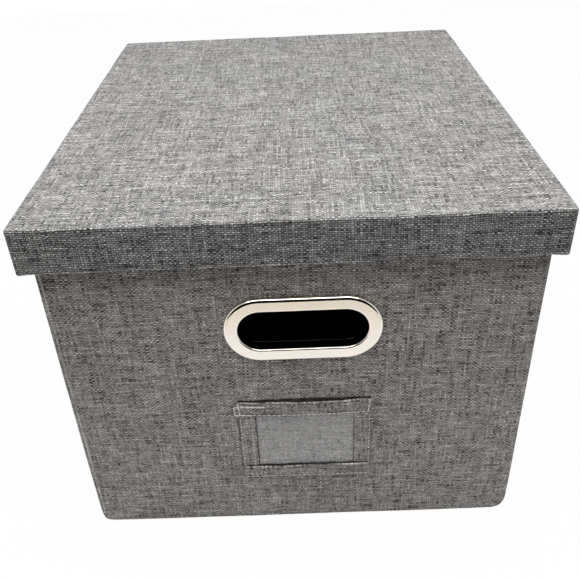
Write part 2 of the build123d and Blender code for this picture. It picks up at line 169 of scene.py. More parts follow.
class Recipe:
    """A material while it is being put together from nodes."""

    def __init__(self, name: str) -> None:
        """Start a material with a Principled surface.

        Args:
            name: The material's name.
        """
        self.material = bpy.data.materials.new(name)
        self.material.use_nodes = True
        self.nodes = self.material.node_tree.nodes
        self.links = self.material.node_tree.links
        self.nodes.clear()
        self.output = self.nodes.new("ShaderNodeOutputMaterial")
        self.surface = self.nodes.new("ShaderNodeBsdfPrincipled")
        self.links.new(self.surface.outputs["BSDF"], self.output.inputs["Surface"])

    def feed(self, socket: bpy.types.NodeSocket, value: object) -> None:
        """Link a signal or a socket to an input, or write a plain value there.

        Args:
            socket: The input to feed.
            value: A signal, a socket, a number or a colour.
        """
        source = value.socket if isinstance(value, Signal) else value
        if isinstance(source, bpy.types.NodeSocket):
            self.links.new(source, socket)
        elif isinstance(value, tuple) and len(value) == 3 and socket.type == "RGBA":
            socket.default_value = (*value, 1.0)
        else:
            socket.default_value = value

    def node(self, kind: str, inputs: dict, **settings: object) -> bpy.types.Node:
        """Add a node.

        Args:
            kind: The node's Blender type.
            inputs: Values by input name or number.
            **settings: The node's own properties.

        Returns:
            The new node.
        """
        made = self.nodes.new(kind)
        for name, value in settings.items():
            setattr(made, name, value)
        for key, value in inputs.items():
            self.feed(made.inputs[key], value)
        return made

    def math(self, operation: str, *values: Number) -> Signal:
        """Add a Math node and return its result."""
        made = self.node("ShaderNodeMath", dict(enumerate(values)), operation=operation)
        return Signal(self, made.outputs[0])

    def rise(self, value: Number, low: float, high: float) -> Signal:
        """A smooth rise from 0 to 1.

        Args:
            value: What rises.
            low: The value at which the rise starts.
            high: The value at which it ends.

        Returns:
            The rise.
        """
        inputs = {"Value": value, "From Min": low, "From Max": high}
        made = self.node("ShaderNodeMapRange", inputs, interpolation_type="SMOOTHSTEP")
        return Signal(self, made.outputs[0])

    def blend(self, amount: Number, low: object, high: object) -> bpy.types.NodeSocket:
        """Mix two colours by an amount from 0 to 1, and return the mixed colour."""
        made = self.node("ShaderNodeMix", {0: amount, 6: low, 7: high}, data_type="RGBA")
        return made.outputs[2]

    def tint(self, colour: object, factor: Number) -> bpy.types.NodeSocket:
        """Scale a colour by a signal and return the result."""
        made = self.node("ShaderNodeVectorMath", {0: colour, "Scale": factor}, operation="SCALE")
        return made.outputs[0]

    def point(self, x: Number, y: Number, z: Number = 0.0) -> bpy.types.NodeSocket:
        """Join three signals into one place."""
        return self.node("ShaderNodeCombineXYZ", {0: x, 1: y, 2: z}).outputs[0]

    def parts(self, vector: bpy.types.NodeSocket) -> tuple[Signal, Signal, Signal]:
        """Split a place or a colour into its three signals."""
        split = self.node("ShaderNodeSeparateXYZ", {0: vector})
        return tuple(Signal(self, output) for output in split.outputs)

    def cloth_place(self) -> tuple[Signal, Signal]:
        """The place along the cloth's two thread directions, in metres."""
        across, along, _ = self.parts(self.node("ShaderNodeUVMap", {}, uv_map=UV_NAME).outputs[0])
        return across, along

    def object_place(self) -> bpy.types.NodeSocket:
        """The place in the object, in metres."""
        return self.node("ShaderNodeTexCoord", {}).outputs["Object"]

    def noise(self, place: bpy.types.NodeSocket, scale: float, detail: float = 0.0,
              roughness: float = 0.5) -> tuple[Signal, Signal, Signal]:
        """Three independent cloudy signals, each from 0 to 1.

        Args:
            place: Where the noise is read.
            scale: Its lumps per unit of place.
            detail: How many finer layers it has.
            roughness: How strong those layers are.

        Returns:
            The three signals.
        """
        inputs = {"Vector": place, "Scale": scale, "Detail": detail, "Roughness": roughness}
        return self.parts(self.node("ShaderNodeTexNoise", inputs).outputs[1])

    def random(self, place: bpy.types.NodeSocket) -> tuple[Signal, Signal, Signal]:
        """Three random numbers from 0 to 1 for each distinct place."""
        return self.parts(self.node("ShaderNodeTexWhiteNoise", {0: place}).outputs[1])

    def bump(self, height: Signal, depth: float) -> None:
        """Shade the surface as if it rose by a height.

        Args:
            height: The relief, from 0 to 1.
            depth: What 1 stands for, in metres.
        """
        made = self.node("ShaderNodeBump", {"Height": height, "Distance": depth})
        self.links.new(made.outputs[0], self.surface.inputs["Normal"])

    def dress(self, **inputs: object) -> None:
        """Set the surface's own inputs.

        Args:
            **inputs: Values by input name, in lower case with underscores.
        """
        for name, value in inputs.items():
            key = name.replace("_", " ").title().replace("Ior", "IOR")
            self.feed(self.surface.inputs[key], value)


@dataclass(frozen=True)
class LinenFinish:
    """Plain-woven melange linen: dark and pale fibres spun together, with thick pale slubs.

    A yarn's tone runs from 0 for the darkest to about 1 for the palest. Lumps are per metre.

    Attributes:
        name: The material's name.
        dark: The darkest yarn.
        middle: The usual yarn.
        pale: The palest yarn.
        warm: The usual yarn where the cloth looks warmer.
        warp_pitch: Distance between upright threads.
        weft_pitch: Distance between level threads.
        relief: Height of the thread humps.
        warp_lean: How much paler than usual the upright threads are, partly as painted shade.
        weft_lean: How much paler than usual the level threads are, partly as painted light from
            above.
        warp_run: How much the tone changes along and between the upright threads.
        weft_run: How much it changes along and between the level threads.
        warp_slub: How much paler the thick places of the upright threads are.
        weft_slub: How much paler the thick places of the level threads are.
        run_pace: How fast a yarn's tone changes, per crossing.
        thread_apart: How far apart two neighbouring threads read the noise.
        sets_apart: How far apart, per unit of lean, the two sets of threads read it.
        slub_from: The noise above which a thread thickens and the one at which it is thickest.
        slub_hump: How much higher a thick place stands.
        warp_hump: Heights of an upright thread's rise over a crossing and of its round back.
        weft_hump: The same heights for a level thread.
        drift: How many threads the rows wander by.
        drift_lumps: Lumps of that wander.
        warp_crowd: How much the upright threads crowd together.
        weft_crowd: How much the level threads do.
        crowd_lumps: Lumps of the crowding across the upright and across the level threads.
        crowd_stretch: How long those lumps are drawn out, as a share.
        show_through: The share of the lower thread's tone that the one over it lets by.
        fleck: How much the tone differs from crossing to crossing.
        fibre: How much single fibres show.
        fibre_lumps: Lumps of the fibres.
        fold_height: Height of a fold above which a highlight is painted, or -1 for none.
        fold_highlight_reach: How far up from the fold that painted highlight reaches.
        fold_highlight_tone: How much paler the painted highlight is.
        cloud_lumps: Lumps of the broad changes in warmth and brightness.
        gap_painted_shade: Painted shade: brightness at a hollow's bottom, and what a full rise
            adds to it.
        rim_from: How far from the middle, both ways, the cloth turns down over a rim.
        rim_painted_shade: Painted shade: how much darker the hollows are past there, where the
            cloth hangs upright.
        least_shade: The least brightness of a hollow.
    """

    name: str
    dark: Colour
    middle: Colour
    pale: Colour
    warm: Colour
    warp_pitch: float = 1.56 * MM
    weft_pitch: float = 1.28 * MM
    relief: float = 0.7 * MM
    warp_lean: float = -0.21
    weft_lean: float = 0.2
    warp_run: float = 1.6
    weft_run: float = 2.25
    warp_slub: float = 0.12
    weft_slub: float = 0.18
    run_pace: float = 0.075
    thread_apart: float = 7.3
    sets_apart: float = 40.0
    slub_from: Spot = (0.585, 0.70)
    slub_hump: float = 0.15
    warp_hump: Spot = (0.45, 0.45)
    weft_hump: Spot = (0.3, 0.7)
    drift: float = 1.5
    drift_lumps: float = 45.0
    warp_crowd: float = 1.1
    weft_crowd: float = 0.95
    crowd_lumps: Spot = (260.0, 300.0)
    crowd_stretch: float = 0.12
    show_through: float = 0.24
    fleck: float = 0.38
    fibre: float = 0.9
    fibre_lumps: float = 2000.0
    fold_height: float = -1.0
    fold_highlight_reach: float = 1.6 * MM
    fold_highlight_tone: float = 0.4
    cloud_lumps: float = 14.0
    gap_painted_shade: Spot = (0.1, 0.98)
    rim_from: Spot = (9.0, 9.0)
    rim_painted_shade: float = 0.62
    least_shade: float = 0.02

    def yarn(self, recipe: Recipe, along: Signal, number: Signal, lean: float, change: float,
             slub_tone: float) -> tuple[Signal, Signal]:
        """The changing tone and thickness of one set of threads.

        Args:
            recipe: The material.
            along: Place along the threads, in crossings.
            number: Which thread it is.
            lean: How much paler than usual these threads are, partly as painted light and shade.
            change: How much their tone changes.
            slub_tone: How much paler their thick places are.

        Returns:
            The tone and the slubs, from 0 to 1.
        """
        place = recipe.point(along * self.run_pace, number * self.thread_apart,
                             lean * self.sets_apart)
        run, slub, _ = recipe.noise(place, 1.0, 2.0, 0.6)
        thick = slub.between(*self.slub_from)
        return (run - 0.5) * change + thick * slub_tone + (0.5 + lean), thick

    def hump(self, crossing: Signal, aside: Signal, thick: Signal, heights: Spot) -> Signal:
        """The height of one set of threads.

        Args:
            crossing: 1 on top of a crossing, -1 under it, and between them elsewhere.
            aside: Place across the thread, from -0.5 to 0.5.
            thick: The thread's slubs, from 0 to 1.
            heights: Heights of its rise over a crossing and of its round back.

        Returns:
            The height, as a share of the relief.
        """
        rise, back = heights
        return crossing * rise + thick * self.slub_hump + (1.0 - 4.0 * aside * aside) * back

    def material(self) -> bpy.types.Material:
        """Build the woven material.

        Returns:
            The material, which reads the piece's cloth map in metres.
        """
        recipe = Recipe(self.name)
        across, along = recipe.cloth_place()
        place = recipe.point(across, along)
        drift_u, drift_v, _ = recipe.noise(place, self.drift_lumps, 1.0)
        crowd_u = recipe.noise(recipe.point(across, along * self.crowd_stretch),
                               self.crowd_lumps[0])[0]
        crowd_v = recipe.noise(recipe.point(across * self.crowd_stretch, along),
                               self.crowd_lumps[1])[1]
        warp = across / self.warp_pitch + drift_u * self.drift + crowd_u * self.warp_crowd
        weft = along / self.weft_pitch + drift_v * self.drift + crowd_v * self.weft_crowd
        warp_number, weft_number = warp.floor(), weft.floor()
        warp_in, weft_in = warp - warp_number - 0.5, weft - weft_number - 0.5
        over = 1.0 - 2.0 * ((warp_number + weft_number) % 2.0)

        # The level threads are paler and the upright ones darker partly as painted light: level
        # threads catch the light from above.
        warp_tone, warp_thick = self.yarn(recipe, weft, warp_number, self.warp_lean,
                                          self.warp_run, self.warp_slub)
        weft_tone, weft_thick = self.yarn(recipe, warp, weft_number, self.weft_lean,
                                          self.weft_run, self.weft_slub)
        warp_high = self.hump(over * (weft_in * math.pi).cos(), warp_in, warp_thick,
                              self.warp_hump)
        weft_high = self.hump(0.0 - over * (warp_in * math.pi).cos(), weft_in, weft_thick,
                              self.weft_hump)
        height = warp_high.most(weft_high)

        fleck, _, grain = recipe.random(recipe.point(warp_number, weft_number))
        fibre = recipe.noise(place, self.fibre_lumps, 1.0)[0]
        shows = 1.0 - 2.0 * self.show_through
        warp_share = self.show_through + warp_high.above(weft_high) * shows
        tone = warp_share * warp_tone + (1.0 - warp_share) * weft_tone
        tone = tone + (fleck - 0.5) * self.fleck + (fibre - 0.5) * self.fibre
        # Painted highlight: the cloth is paler just above the fold, as if its turned edge caught
        # the light.
        if self.fold_height >= 0.0:
            _, _, level = recipe.parts(recipe.object_place())
            past_fold_highlight = (level - self.fold_height).between(0.0, self.fold_highlight_reach)
            tone = tone + self.fold_highlight_tone * (1.0 - past_fold_highlight)

        cloud, warmth, _ = recipe.noise(place, self.cloud_lumps, 2.0)
        usual = recipe.blend(warmth.between(0.35, 0.65), self.middle, self.warm)
        colour = recipe.blend(tone.between(0.05, 0.55), self.dark, usual)
        colour = recipe.blend(tone.between(0.55, 1.05), colour, self.pale)
        # Painted shade: the colour darkens down into the hollows between threads.
        rise = height.between(0.05, 0.9)
        # Painted shade: past rim_from the hollows darken, so the upright rim reads darker than
        # the top.
        on_rim = recipe.math("ABSOLUTE", across).above(self.rim_from[0]).most(
            recipe.math("ABSOLUTE", along).above(self.rim_from[1]))
        bottom, full_rise = self.gap_painted_shade
        hollow = bottom + full_rise * rise - on_rim * (1.0 - rise) * self.rim_painted_shade
        mottle = (0.92 + 0.16 * cloud) * (0.95 + 0.1 * grain)
        recipe.bump(height, self.relief)
        recipe.dress(base_color=recipe.tint(colour, hollow.most(self.least_shade) * mottle),
                     roughness=0.92, specular_ior_level=0.18, sheen_weight=0.12,
                     sheen_roughness=0.5)
        return recipe.material


@dataclass(frozen=True)
class FeltFinish:
    """Dark non-woven lining, pressed with a fine grid of dots.

    Attributes:
        name: The material's name.
        colour: Its colour between the fibres.
        pale: The fibres' colour.
        dot_pitch: Distance from one dot to the next.
        relief: Depth of the fibres and dots.
    """

    name: str = "dark_lining"
    colour: Colour = (0.024, 0.024, 0.026)
    pale: Colour = (0.06, 0.06, 0.062)
    dot_pitch: float = 1.6 * MM
    relief: float = 0.12 * MM

    def material(self) -> bpy.types.Material:
        """Build the lining material.

        Returns:
            The material.
        """
        recipe = Recipe(self.name)
        across, along = recipe.cloth_place()
        place = recipe.point(across, along)
        fibre, lump, _ = recipe.noise(place, 900.0, 3.0, 0.6)
        turn = 2.0 * math.pi / self.dot_pitch
        dots = (across * turn).cos() * (along * turn).cos()
        cloud = recipe.noise(place, 25.0, 2.0)[0]
        shade = recipe.blend(fibre.between(0.35, 0.8), self.colour, self.pale)
        recipe.bump(lump * 0.6 + dots.between(0.2, 0.9) * 0.4, self.relief)
        recipe.dress(base_color=recipe.tint(shade, 0.7 + 0.6 * cloud), roughness=0.9,
                     specular_ior_level=0.2, sheen_weight=0.05)
        return recipe.material


@dataclass(frozen=True)
class RibbonFinish:
    """Dark ribbed ribbon.

    Attributes:
        name: The material's name.
        colour: Its darker yarns.
        pale: Its paler yarns.
        rib_pitch: Distance from one rib to the next.
        relief: Height of the ribs.
    """

    name: str = "ribbed_ribbon"
    colour: Colour = (0.035, 0.035, 0.038)
    pale: Colour = (0.075, 0.075, 0.08)
    rib_pitch: float = 1.1 * MM
    relief: float = 0.16 * MM

    def material(self) -> bpy.types.Material:
        """Build the ribbon material.

        Returns:
            The material.
        """
        recipe = Recipe(self.name)
        across, along = recipe.cloth_place()
        rib = (along * (2.0 * math.pi / self.rib_pitch)).cos()
        yarn = recipe.noise(recipe.point(across * 0.3, along), 1500.0, 1.0)[0]
        shade = recipe.blend(yarn.between(0.3, 0.75), self.colour, self.pale)
        recipe.bump(rib.between(-1.0, 1.0), self.relief)
        # Painted shade: the colour darkens in the grooves between the ribs.
        recipe.dress(base_color=recipe.tint(shade, 0.75 + 0.25 * rib), roughness=0.7,
                     sheen_weight=0.1)
        return recipe.material


@dataclass(frozen=True)
class ThreadFinish:
    """Pale twisted sewing thread.

    Attributes:
        name: The material's name.
        colour: Its colour.
        ply_pitch: Distance from one turn of its plies to the next.
        relief: Depth between the plies.
    """

    name: str = "sewing_thread"
    colour: Colour = (0.95, 0.93, 0.90)
    ply_pitch: float = 0.45 * MM
    relief: float = 0.06 * MM

    def material(self) -> bpy.types.Material:
        """Build the thread material.

        Returns:
            The material.
        """
        recipe = Recipe(self.name)
        x, _, z = recipe.parts(recipe.object_place())
        ply = ((x + z) * (2.0 * math.pi / self.ply_pitch)).cos()
        fuzz = recipe.noise(recipe.object_place(), 1200.0, 1.0)[0]
        recipe.bump(ply.between(-1.0, 1.0), self.relief)
        # Painted shade: the colour is a little darker in the grooves between the plies.
        shade = (0.88 + 0.10 * ply) * (0.8 + 0.4 * fuzz)
        recipe.dress(base_color=recipe.tint(self.colour, shade), roughness=0.65,
                     sheen_weight=0.15)
        return recipe.material


@dataclass(frozen=True)
class MetalFinish:
    """Plated or brushed metal with hairline scratches and faint smears.

    Attributes:
        name: The material's name.
        colour: The plating's colour.
        roughness: How soft its reflections are.
        smear: How much the roughness wanders.
        hairline: Depth of its scratches.
        grain: Stretch of the scratches along X, Y and Z.
    """

    name: str
    colour: Colour
    roughness: float
    smear: float
    hairline: float
    grain: Triple

    def material(self) -> bpy.types.Material:
        """Build the metal material.

        Returns:
            The material.
        """
        recipe = Recipe(self.name)
        place = recipe.object_place()
        stretched = recipe.node(
            "ShaderNodeVectorMath", {0: place, 1: self.grain}, operation="MULTIPLY").outputs[0]
        scratch = recipe.noise(stretched, 1.0, 2.0)[0]
        cloud, stain, _ = recipe.noise(place, 90.0, 3.0, 0.6)
        recipe.bump(scratch, self.hairline)
        worn = self.roughness + self.smear * cloud.between(0.4, 0.75)
        shade = recipe.tint(self.colour, 0.93 + 0.1 * stain)
        recipe.dress(base_color=shade, metallic=1.0, roughness=worn)
        return recipe.material


@dataclass(frozen=True)
class BoardFinish:
    """Grey bookbinding board with flecks of pulp.

    Attributes:
        name: The material's name.
        colour: Its colour.
        fleck: The flecks' colour.
        relief: Depth of its fibres.
    """

    name: str = "binding_board"
    colour: Colour = (0.42, 0.40, 0.37)
    fleck: Colour = (0.27, 0.25, 0.23)
    relief: float = 0.08 * MM

    def material(self) -> bpy.types.Material:
        """Build the board material.

        Returns:
            The material.
        """
        recipe = Recipe(self.name)
        pulp, fibre, _ = recipe.noise(recipe.object_place(), 700.0, 3.0, 0.65)
        recipe.bump(fibre, self.relief)
        recipe.dress(base_color=recipe.blend(pulp.between(0.55, 0.75), self.colour, self.fleck),
                     roughness=0.95, specular_ior_level=0.2)
        return recipe.material


@dataclass(frozen=True)
class FilmFinish:
    """Clear flexible film with a slight milky haze and soft ripples.

    Attributes:
        name: The material's name.
        haze: The haze's colour.
        cover: How much of what lies behind the haze hides.
        roughness: How soft its reflections are.
        relief: Depth of the ripples.
    """

    name: str = "window_film"
    haze: Colour = (0.95, 0.95, 0.95)
    cover: float = 0.17
    roughness: float = 0.22
    relief: float = 0.5 * MM

    def material(self) -> bpy.types.Material:
        """Build the film material.

        Returns:
            The material.
        """
        recipe = Recipe(self.name)
        ripple, smear, _ = recipe.noise(recipe.object_place(), 60.0, 2.0)
        recipe.bump(ripple, self.relief)
        cover = self.cover * (0.85 + 0.3 * smear)
        recipe.dress(base_color=self.haze, alpha=cover, roughness=self.roughness,
                     specular_ior_level=0.5)
        return recipe.material


@dataclass(frozen=True)
class PaperFinish:
    """White paper floor: white to camera and metal, but for the box's shadow and a painted shade.

    Attributes:
        name: The material's name.
        colour: The paper's own white.
        mirrored_painted_shade: A painted darker, warmer shade on the paper's front part, seen
            only in metal.
        painted_shade_edge: The Y up to which that painted shade is full, and the Y where it has
            faded out.
        glow: The share of plain white that the camera sees.
    """

    name: str = "studio_paper"
    colour: Colour = (0.88, 0.88, 0.88)
    mirrored_painted_shade: Colour = (0.80, 0.76, 0.68)
    painted_shade_edge: Spot = (-0.5, -0.41)
    glow: float = 0.975

    def material(self) -> bpy.types.Material:
        """Build the floor material.

        Returns:
            The material.
        """
        recipe = Recipe(self.name)
        seen = seen_directly(recipe)
        gloss = Signal(recipe, recipe.node("ShaderNodeLightPath", {}).outputs["Is Glossy Ray"])
        _, depth, _ = recipe.parts(recipe.object_place())
        # Painted shade: metal mirrors the paper's front part darker and warmer.
        white = recipe.blend(gloss * (1.0 - depth.between(*self.painted_shade_edge)), WHITE,
                             self.mirrored_painted_shade)
        tooth = recipe.noise(recipe.object_place(), 500.0, 1.0)[0]
        recipe.dress(base_color=recipe.tint(self.colour, 0.99 + 0.02 * tooth), roughness=0.95,
                     specular_ior_level=0.0)
        plain = recipe.node("ShaderNodeEmission", {"Color": white, "Strength": 1.0})
        mixed = recipe.node("ShaderNodeMixShader", {
            0: seen * self.glow, 1: recipe.surface.outputs[0], 2: plain.outputs[0]})
        recipe.links.new(mixed.outputs[0], recipe.output.inputs["Surface"])
        return recipe.material


def seen_directly(recipe: Recipe) -> Signal:
    """1 for rays from the camera, from a gloss or through film, and 0 for rays that light things.

    Args:
        recipe: The material that asks.

    Returns:
        The signal.
    """
    path = recipe.node("ShaderNodeLightPath", {})
    seen = Signal(recipe, path.outputs["Is Camera Ray"])
    for kind in CLEAR_RAYS:
        seen = seen.most(Signal(recipe, path.outputs[kind]))
    return seen


# ---- places and meshes ----
@dataclass(frozen=True)
class Place:
    """The room that one or more of the frame's pieces take.

    Attributes:
        low: Its corner with the least X, Y and Z.
        high: Its corner with the greatest.
    """

    low: Vector
    high: Vector

    @classmethod
    def of(cls, *nodes: str) -> "Place":
        """The room that some of the frame's nodes take together.

        Args:
            *nodes: Their names.

        Returns:
            The room.
        """
        boxes = [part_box(node) for node in nodes]
        low = Vector([min(box[0][axis] for box in boxes) for axis in range(3)])
        high = Vector([max(box[1][axis] for box in boxes) for axis in range(3)])
        return cls(low, high)

    @property
    def size(self) -> Vector:
        """Its three lengths."""
        return self.high - self.low

    @property
    def middle(self) -> Vector:
        """Its centre."""
        return (self.high + self.low) / 2


def smooth_fall(distance: float, reach: float) -> float:
    """1 at no distance, 0 from the reach on, with a smooth fall between them."""
    share = min(max(distance / reach, 0.0), 1.0)
    return 1.0 - share * share * (3.0 - 2.0 * share)


def block_mesh(place: Place) -> BMesh:
    """Start a mesh as a square block.

    Args:
        place: The room that it fills.

    Returns:
        The mesh.
    """
    mesh = bmesh.new()
    bmesh.ops.create_cube(mesh, size=1.0)
    bmesh.ops.scale(mesh, vec=place.size, verts=mesh.verts)
    bmesh.ops.translate(mesh, vec=place.middle, verts=mesh.verts)
    return mesh


def points_of(items: Iterable[object]) -> list[BMVert]:
    """The points among what an operator made."""
    return [item for item in items if isinstance(item, BMVert)]


def round_edges(mesh: BMesh, edges: Iterable[BMEdge], radius: float, segments: int) -> None:
    """Round a mesh's edges.

    Args:
        mesh: The mesh.
        edges: The edges to round.
        radius: The round's radius, in metres.
        segments: How many faces go round it.
    """
    bmesh.ops.bevel(mesh, geom=list(edges), offset=radius, offset_type="OFFSET",
                    segments=segments, profile=0.5, affect="EDGES", material=-1,
                    clamp_overlap=True)


def upright_edges(mesh: BMesh) -> list[BMEdge]:
    """The edges that stand straight up."""
    return [edge for edge in mesh.edges
            if (edge.verts[0].co.xy - edge.verts[1].co.xy).length < TINY]


def edges_at(mesh: BMesh, height: float) -> list[BMEdge]:
    """The edges that lie level at a height."""
    return [edge for edge in mesh.edges
            if all(abs(vert.co.z - height) < TINY for vert in edge.verts)]


def cut_at(mesh: BMesh, axis: int, places: Iterable[float]) -> None:
    """Cut every face of a mesh where it crosses the given places on an axis.

    Args:
        mesh: The mesh.
        axis: 0, 1 or 2 for X, Y or Z.
        places: Where to cut.
    """
    direction = Vector([float(index == axis) for index in range(3)])
    for place in places:
        geometry = mesh.verts[:] + mesh.edges[:] + mesh.faces[:]
        bmesh.ops.bisect_plane(mesh, geom=geometry, dist=TINY / 10,
                               plane_co=direction * place, plane_no=direction)


def steps(low: float, high: float, spacing: float) -> list[float]:
    """Even steps between two values, without the two values themselves."""
    count = max(1, round((high - low) / spacing))
    return [low + (high - low) * index / count for index in range(1, count)]


def cloth_shell(place: Place, opening: OpenEnd, corner_radius: float, edge_radius: float,
                segments: int = 5) -> BMesh:
    """A rounded box of cloth with one end open.

    Args:
        place: The room that it fills.
        opening: The open end.
        corner_radius: Radius of its upright corners.
        edge_radius: Radius round its closed end.
        segments: Faces round each radius.

    Returns:
        The mesh, with its faces outward.
    """
    mesh = block_mesh(place)
    open_face = max(mesh.faces, key=lambda face: face.calc_center_median().z * opening.value)
    bmesh.ops.delete(mesh, geom=[open_face], context="FACES_ONLY")
    round_edges(mesh, upright_edges(mesh), corner_radius, segments)
    closed = place.low.z if opening is OpenEnd.TOP else place.high.z
    round_edges(mesh, edges_at(mesh, closed), edge_radius, segments)
    return mesh


def oval_loop(mesh: BMesh, centre: Vector, length: float, height: float,
              sides: int = 56) -> list[BMEdge]:
    """Draw a slot-shaped loop in a plane that faces the front.

    Args:
        mesh: The mesh to draw in.
        centre: The slot's centre.
        length: Its length along X.
        height: Its height along Z.
        sides: How many straight pieces its round ends have together.

    Returns:
        The loop's edges.
    """
    turn = Matrix.Rotation(math.pi / 2, 4, "X") @ Matrix.Rotation(math.pi / sides, 4, "Z")
    made = bmesh.ops.create_circle(mesh, cap_ends=False, segments=sides, radius=height / 2,
                                   matrix=Matrix.Translation(centre) @ turn)
    stretch_oval(made["verts"], centre.x, (length - height) / 2)
    return list({edge for vert in made["verts"] for edge in vert.link_edges})


def stretch_oval(verts: Iterable[BMVert], centre_x: float, straight: float) -> None:
    """Draw the two halves of a round shape apart along X, into a slot shape.

    Args:
        verts: The shape's points.
        centre_x: The middle of the shape.
        straight: Half the length of the slot's straight sides.
    """
    for vert in verts:
        vert.co.x += math.copysign(straight, vert.co.x - centre_x)


def open_oval(mesh: BMesh, wall_y: float, centre: Vector, length: float, height: float) -> None:
    """Cut a slot-shaped hole in a flat wall that is still one face.

    Args:
        mesh: The mesh.
        wall_y: The wall's plane.
        centre: The hole's centre.
        length: The hole's length.
        height: The hole's height.
    """
    flat = [face for face in mesh.faces if abs(face.calc_center_median().y - wall_y) < TINY]
    wall = max(flat, key=lambda face: face.calc_area())
    outline = list(wall.edges)
    outward = wall.normal.copy()
    bmesh.ops.delete(mesh, geom=[wall], context="FACES_ONLY")
    hole = oval_loop(mesh, Vector((centre.x, wall_y, centre.z)), length, height)
    made = bmesh.ops.triangle_fill(mesh, use_beauty=True, use_dissolve=False,
                                   edges=outline + hole, normal=outward)
    for item in made["geom"]:
        if isinstance(item, BMFace) and item.normal.dot(outward) < 0:
            item.normal_flip()


def stepped_in(point: Vector, place: Place, radius: float, distance: float) -> Vector:
    """Move a point on a rounded wall straight inward.

    Args:
        point: The point.
        place: The room that the walls enclose.
        radius: Radius of their upright corners.
        distance: How far inward.

    Returns:
        The new point.
    """
    inner = core_point(point, place, radius)
    outward = Vector((point.x - inner.x, point.y - inner.y, 0.0))
    return point - outward.normalized() * distance


def core_point(point: Vector, place: Place, radius: float) -> Vector:
    """The nearest point of the rectangle that rounded walls stand a radius away from.

    Args:
        point: The point.
        place: The room that the walls enclose.
        radius: Radius of their upright corners.

    Returns:
        The nearest point, at the same height.
    """
    reach = place.size / 2 - Vector((radius, radius, 0.0))
    x = min(max(point.x - place.middle.x, -reach.x), reach.x) + place.middle.x
    y = min(max(point.y - place.middle.y, -reach.y), reach.y) + place.middle.y
    return Vector((x, y, point.z))


def corner_share(point: Vector, place: Place, reach: float) -> float:
    """1 at an upright corner of a room, and 0 from a reach away from it on."""
    inset = (place.high.x - abs(point.x), place.high.y - abs(point.y))
    return smooth_fall(max(inset), reach)


@dataclass(frozen=True)
class HemFold:
    """A turned-in hem.

    Attributes:
        wall: Thickness of the wall that it goes round.
        rise: How far its free edge lies above the fold, less than 0 where it hangs down.
        radius: Radius of the folds.
    """

    wall: float
    rise: float
    radius: float


def turn_in_hem(mesh: BMesh, mouth: list[BMEdge], place: Place, corner_radius: float,
                fold: HemFold) -> None:
    """Fold a cloth shell over at its mouth and run it back along the inside of the wall.

    Args:
        mesh: The shell.
        mouth: The edges of its mouth.
        place: The room that the shell takes.
        corner_radius: Radius of its upright corners.
        fold: The fold's sizes.
    """
    over = bmesh.ops.extrude_edge_only(mesh, edges=mouth)["geom"]
    for vert in points_of(over):
        vert.co = stepped_in(vert.co, place, corner_radius, fold.wall)
    level = [item for item in over if isinstance(item, BMEdge) and item.is_boundary
             and abs(item.verts[0].co.z - item.verts[1].co.z) < TINY]
    inside = bmesh.ops.extrude_edge_only(mesh, edges=level)["geom"]
    bmesh.ops.translate(mesh, vec=(0.0, 0.0, fold.rise), verts=points_of(inside))
    round_edges(mesh, [edge for edge in mouth + level if edge.is_valid], fold.radius, 3)
    bmesh.ops.recalc_face_normals(mesh, faces=mesh.faces)


def crease_softly(mesh: BMesh, amount: float, lumps: float, seed: float) -> None:
    """Let a cloth surface wander a little along its own normals, though not below the floor.

    Args:
        mesh: The mesh.
        amount: The most that it moves, in metres.
        lumps: Lumps per metre.
        seed: A number that sets the pattern.
    """
    mesh.normal_update()
    shift = Vector((seed, seed * 0.7, seed * 1.3))
    moves = [amount * noise.noise(vert.co * lumps + shift) for vert in mesh.verts]
    for vert, move in zip(mesh.verts, moves):
        vert.co += vert.normal * move
        vert.co.z = max(vert.co.z, 0.0)


def lay_cloth(mesh: BMesh, rule: Callable[[Vector, Vector], Spot]) -> None:
    """Give a mesh its cloth map.

    Args:
        mesh: The mesh.
        rule: Tells where a point lies along the threads, from the point and its face's normal.
    """
    mesh.normal_update()
    layer = mesh.loops.layers.uv.verify()
    for face in mesh.faces:
        for loop in face.loops:
            loop[layer].uv = rule(loop.vert.co, face.normal)


def flat_cloth(point: Vector, normal: Vector) -> Spot:
    """Lay cloth square on whichever way a face looks most.

    Args:
        point: The point.
        normal: Its face's normal.

    Returns:
        The place along the two thread directions.
    """
    if abs(normal.z) >= max(abs(normal.x), abs(normal.y)):
        return point.x, point.y
    if abs(normal.y) >= abs(normal.x):
        return point.x, point.z
    return point.y, point.z


def folded_over(place: Place, radius: float) -> Callable[[Vector, Vector], Spot]:
    """A cloth map for one sheet laid over a lid and folded down its four sides.

    Args:
        place: The room that the lid takes.
        radius: Radius of the edge round its top.

    Returns:
        The rule that lays the cloth.
    """
    half = place.size / 2

    def run(aside: float, reach: float, drop: float) -> float:
        """The way from the middle of the top, round the edge and down the side.

        Args:
            aside: The point's distance from the middle, signed.
            reach: The side's distance from the middle.
            drop: How far the point lies below the top.

        Returns:
            The way, with the sign of the side.
        """
        beyond = abs(aside) - (reach - radius)
        turn = math.atan2(max(beyond, 0.0), max(radius - drop, 0.0))
        way = min(abs(aside), reach - radius) + radius * turn + max(drop - radius, 0.0)
        return math.copysign(way, aside)

    def rule(point: Vector, normal: Vector) -> Spot:
        """The place on the unfolded sheet.

        Args:
            point: The point.
            normal: Its face's normal.

        Returns:
            The place along the two thread directions.
        """
        drop = place.high.z - point.z
        if abs(normal.z) > 0.99:
            return point.x, point.y
        if abs(normal.y) >= abs(normal.x):
            return point.x, run(point.y, half.y, drop)
        return run(point.x, half.x, drop), point.y

    return rule


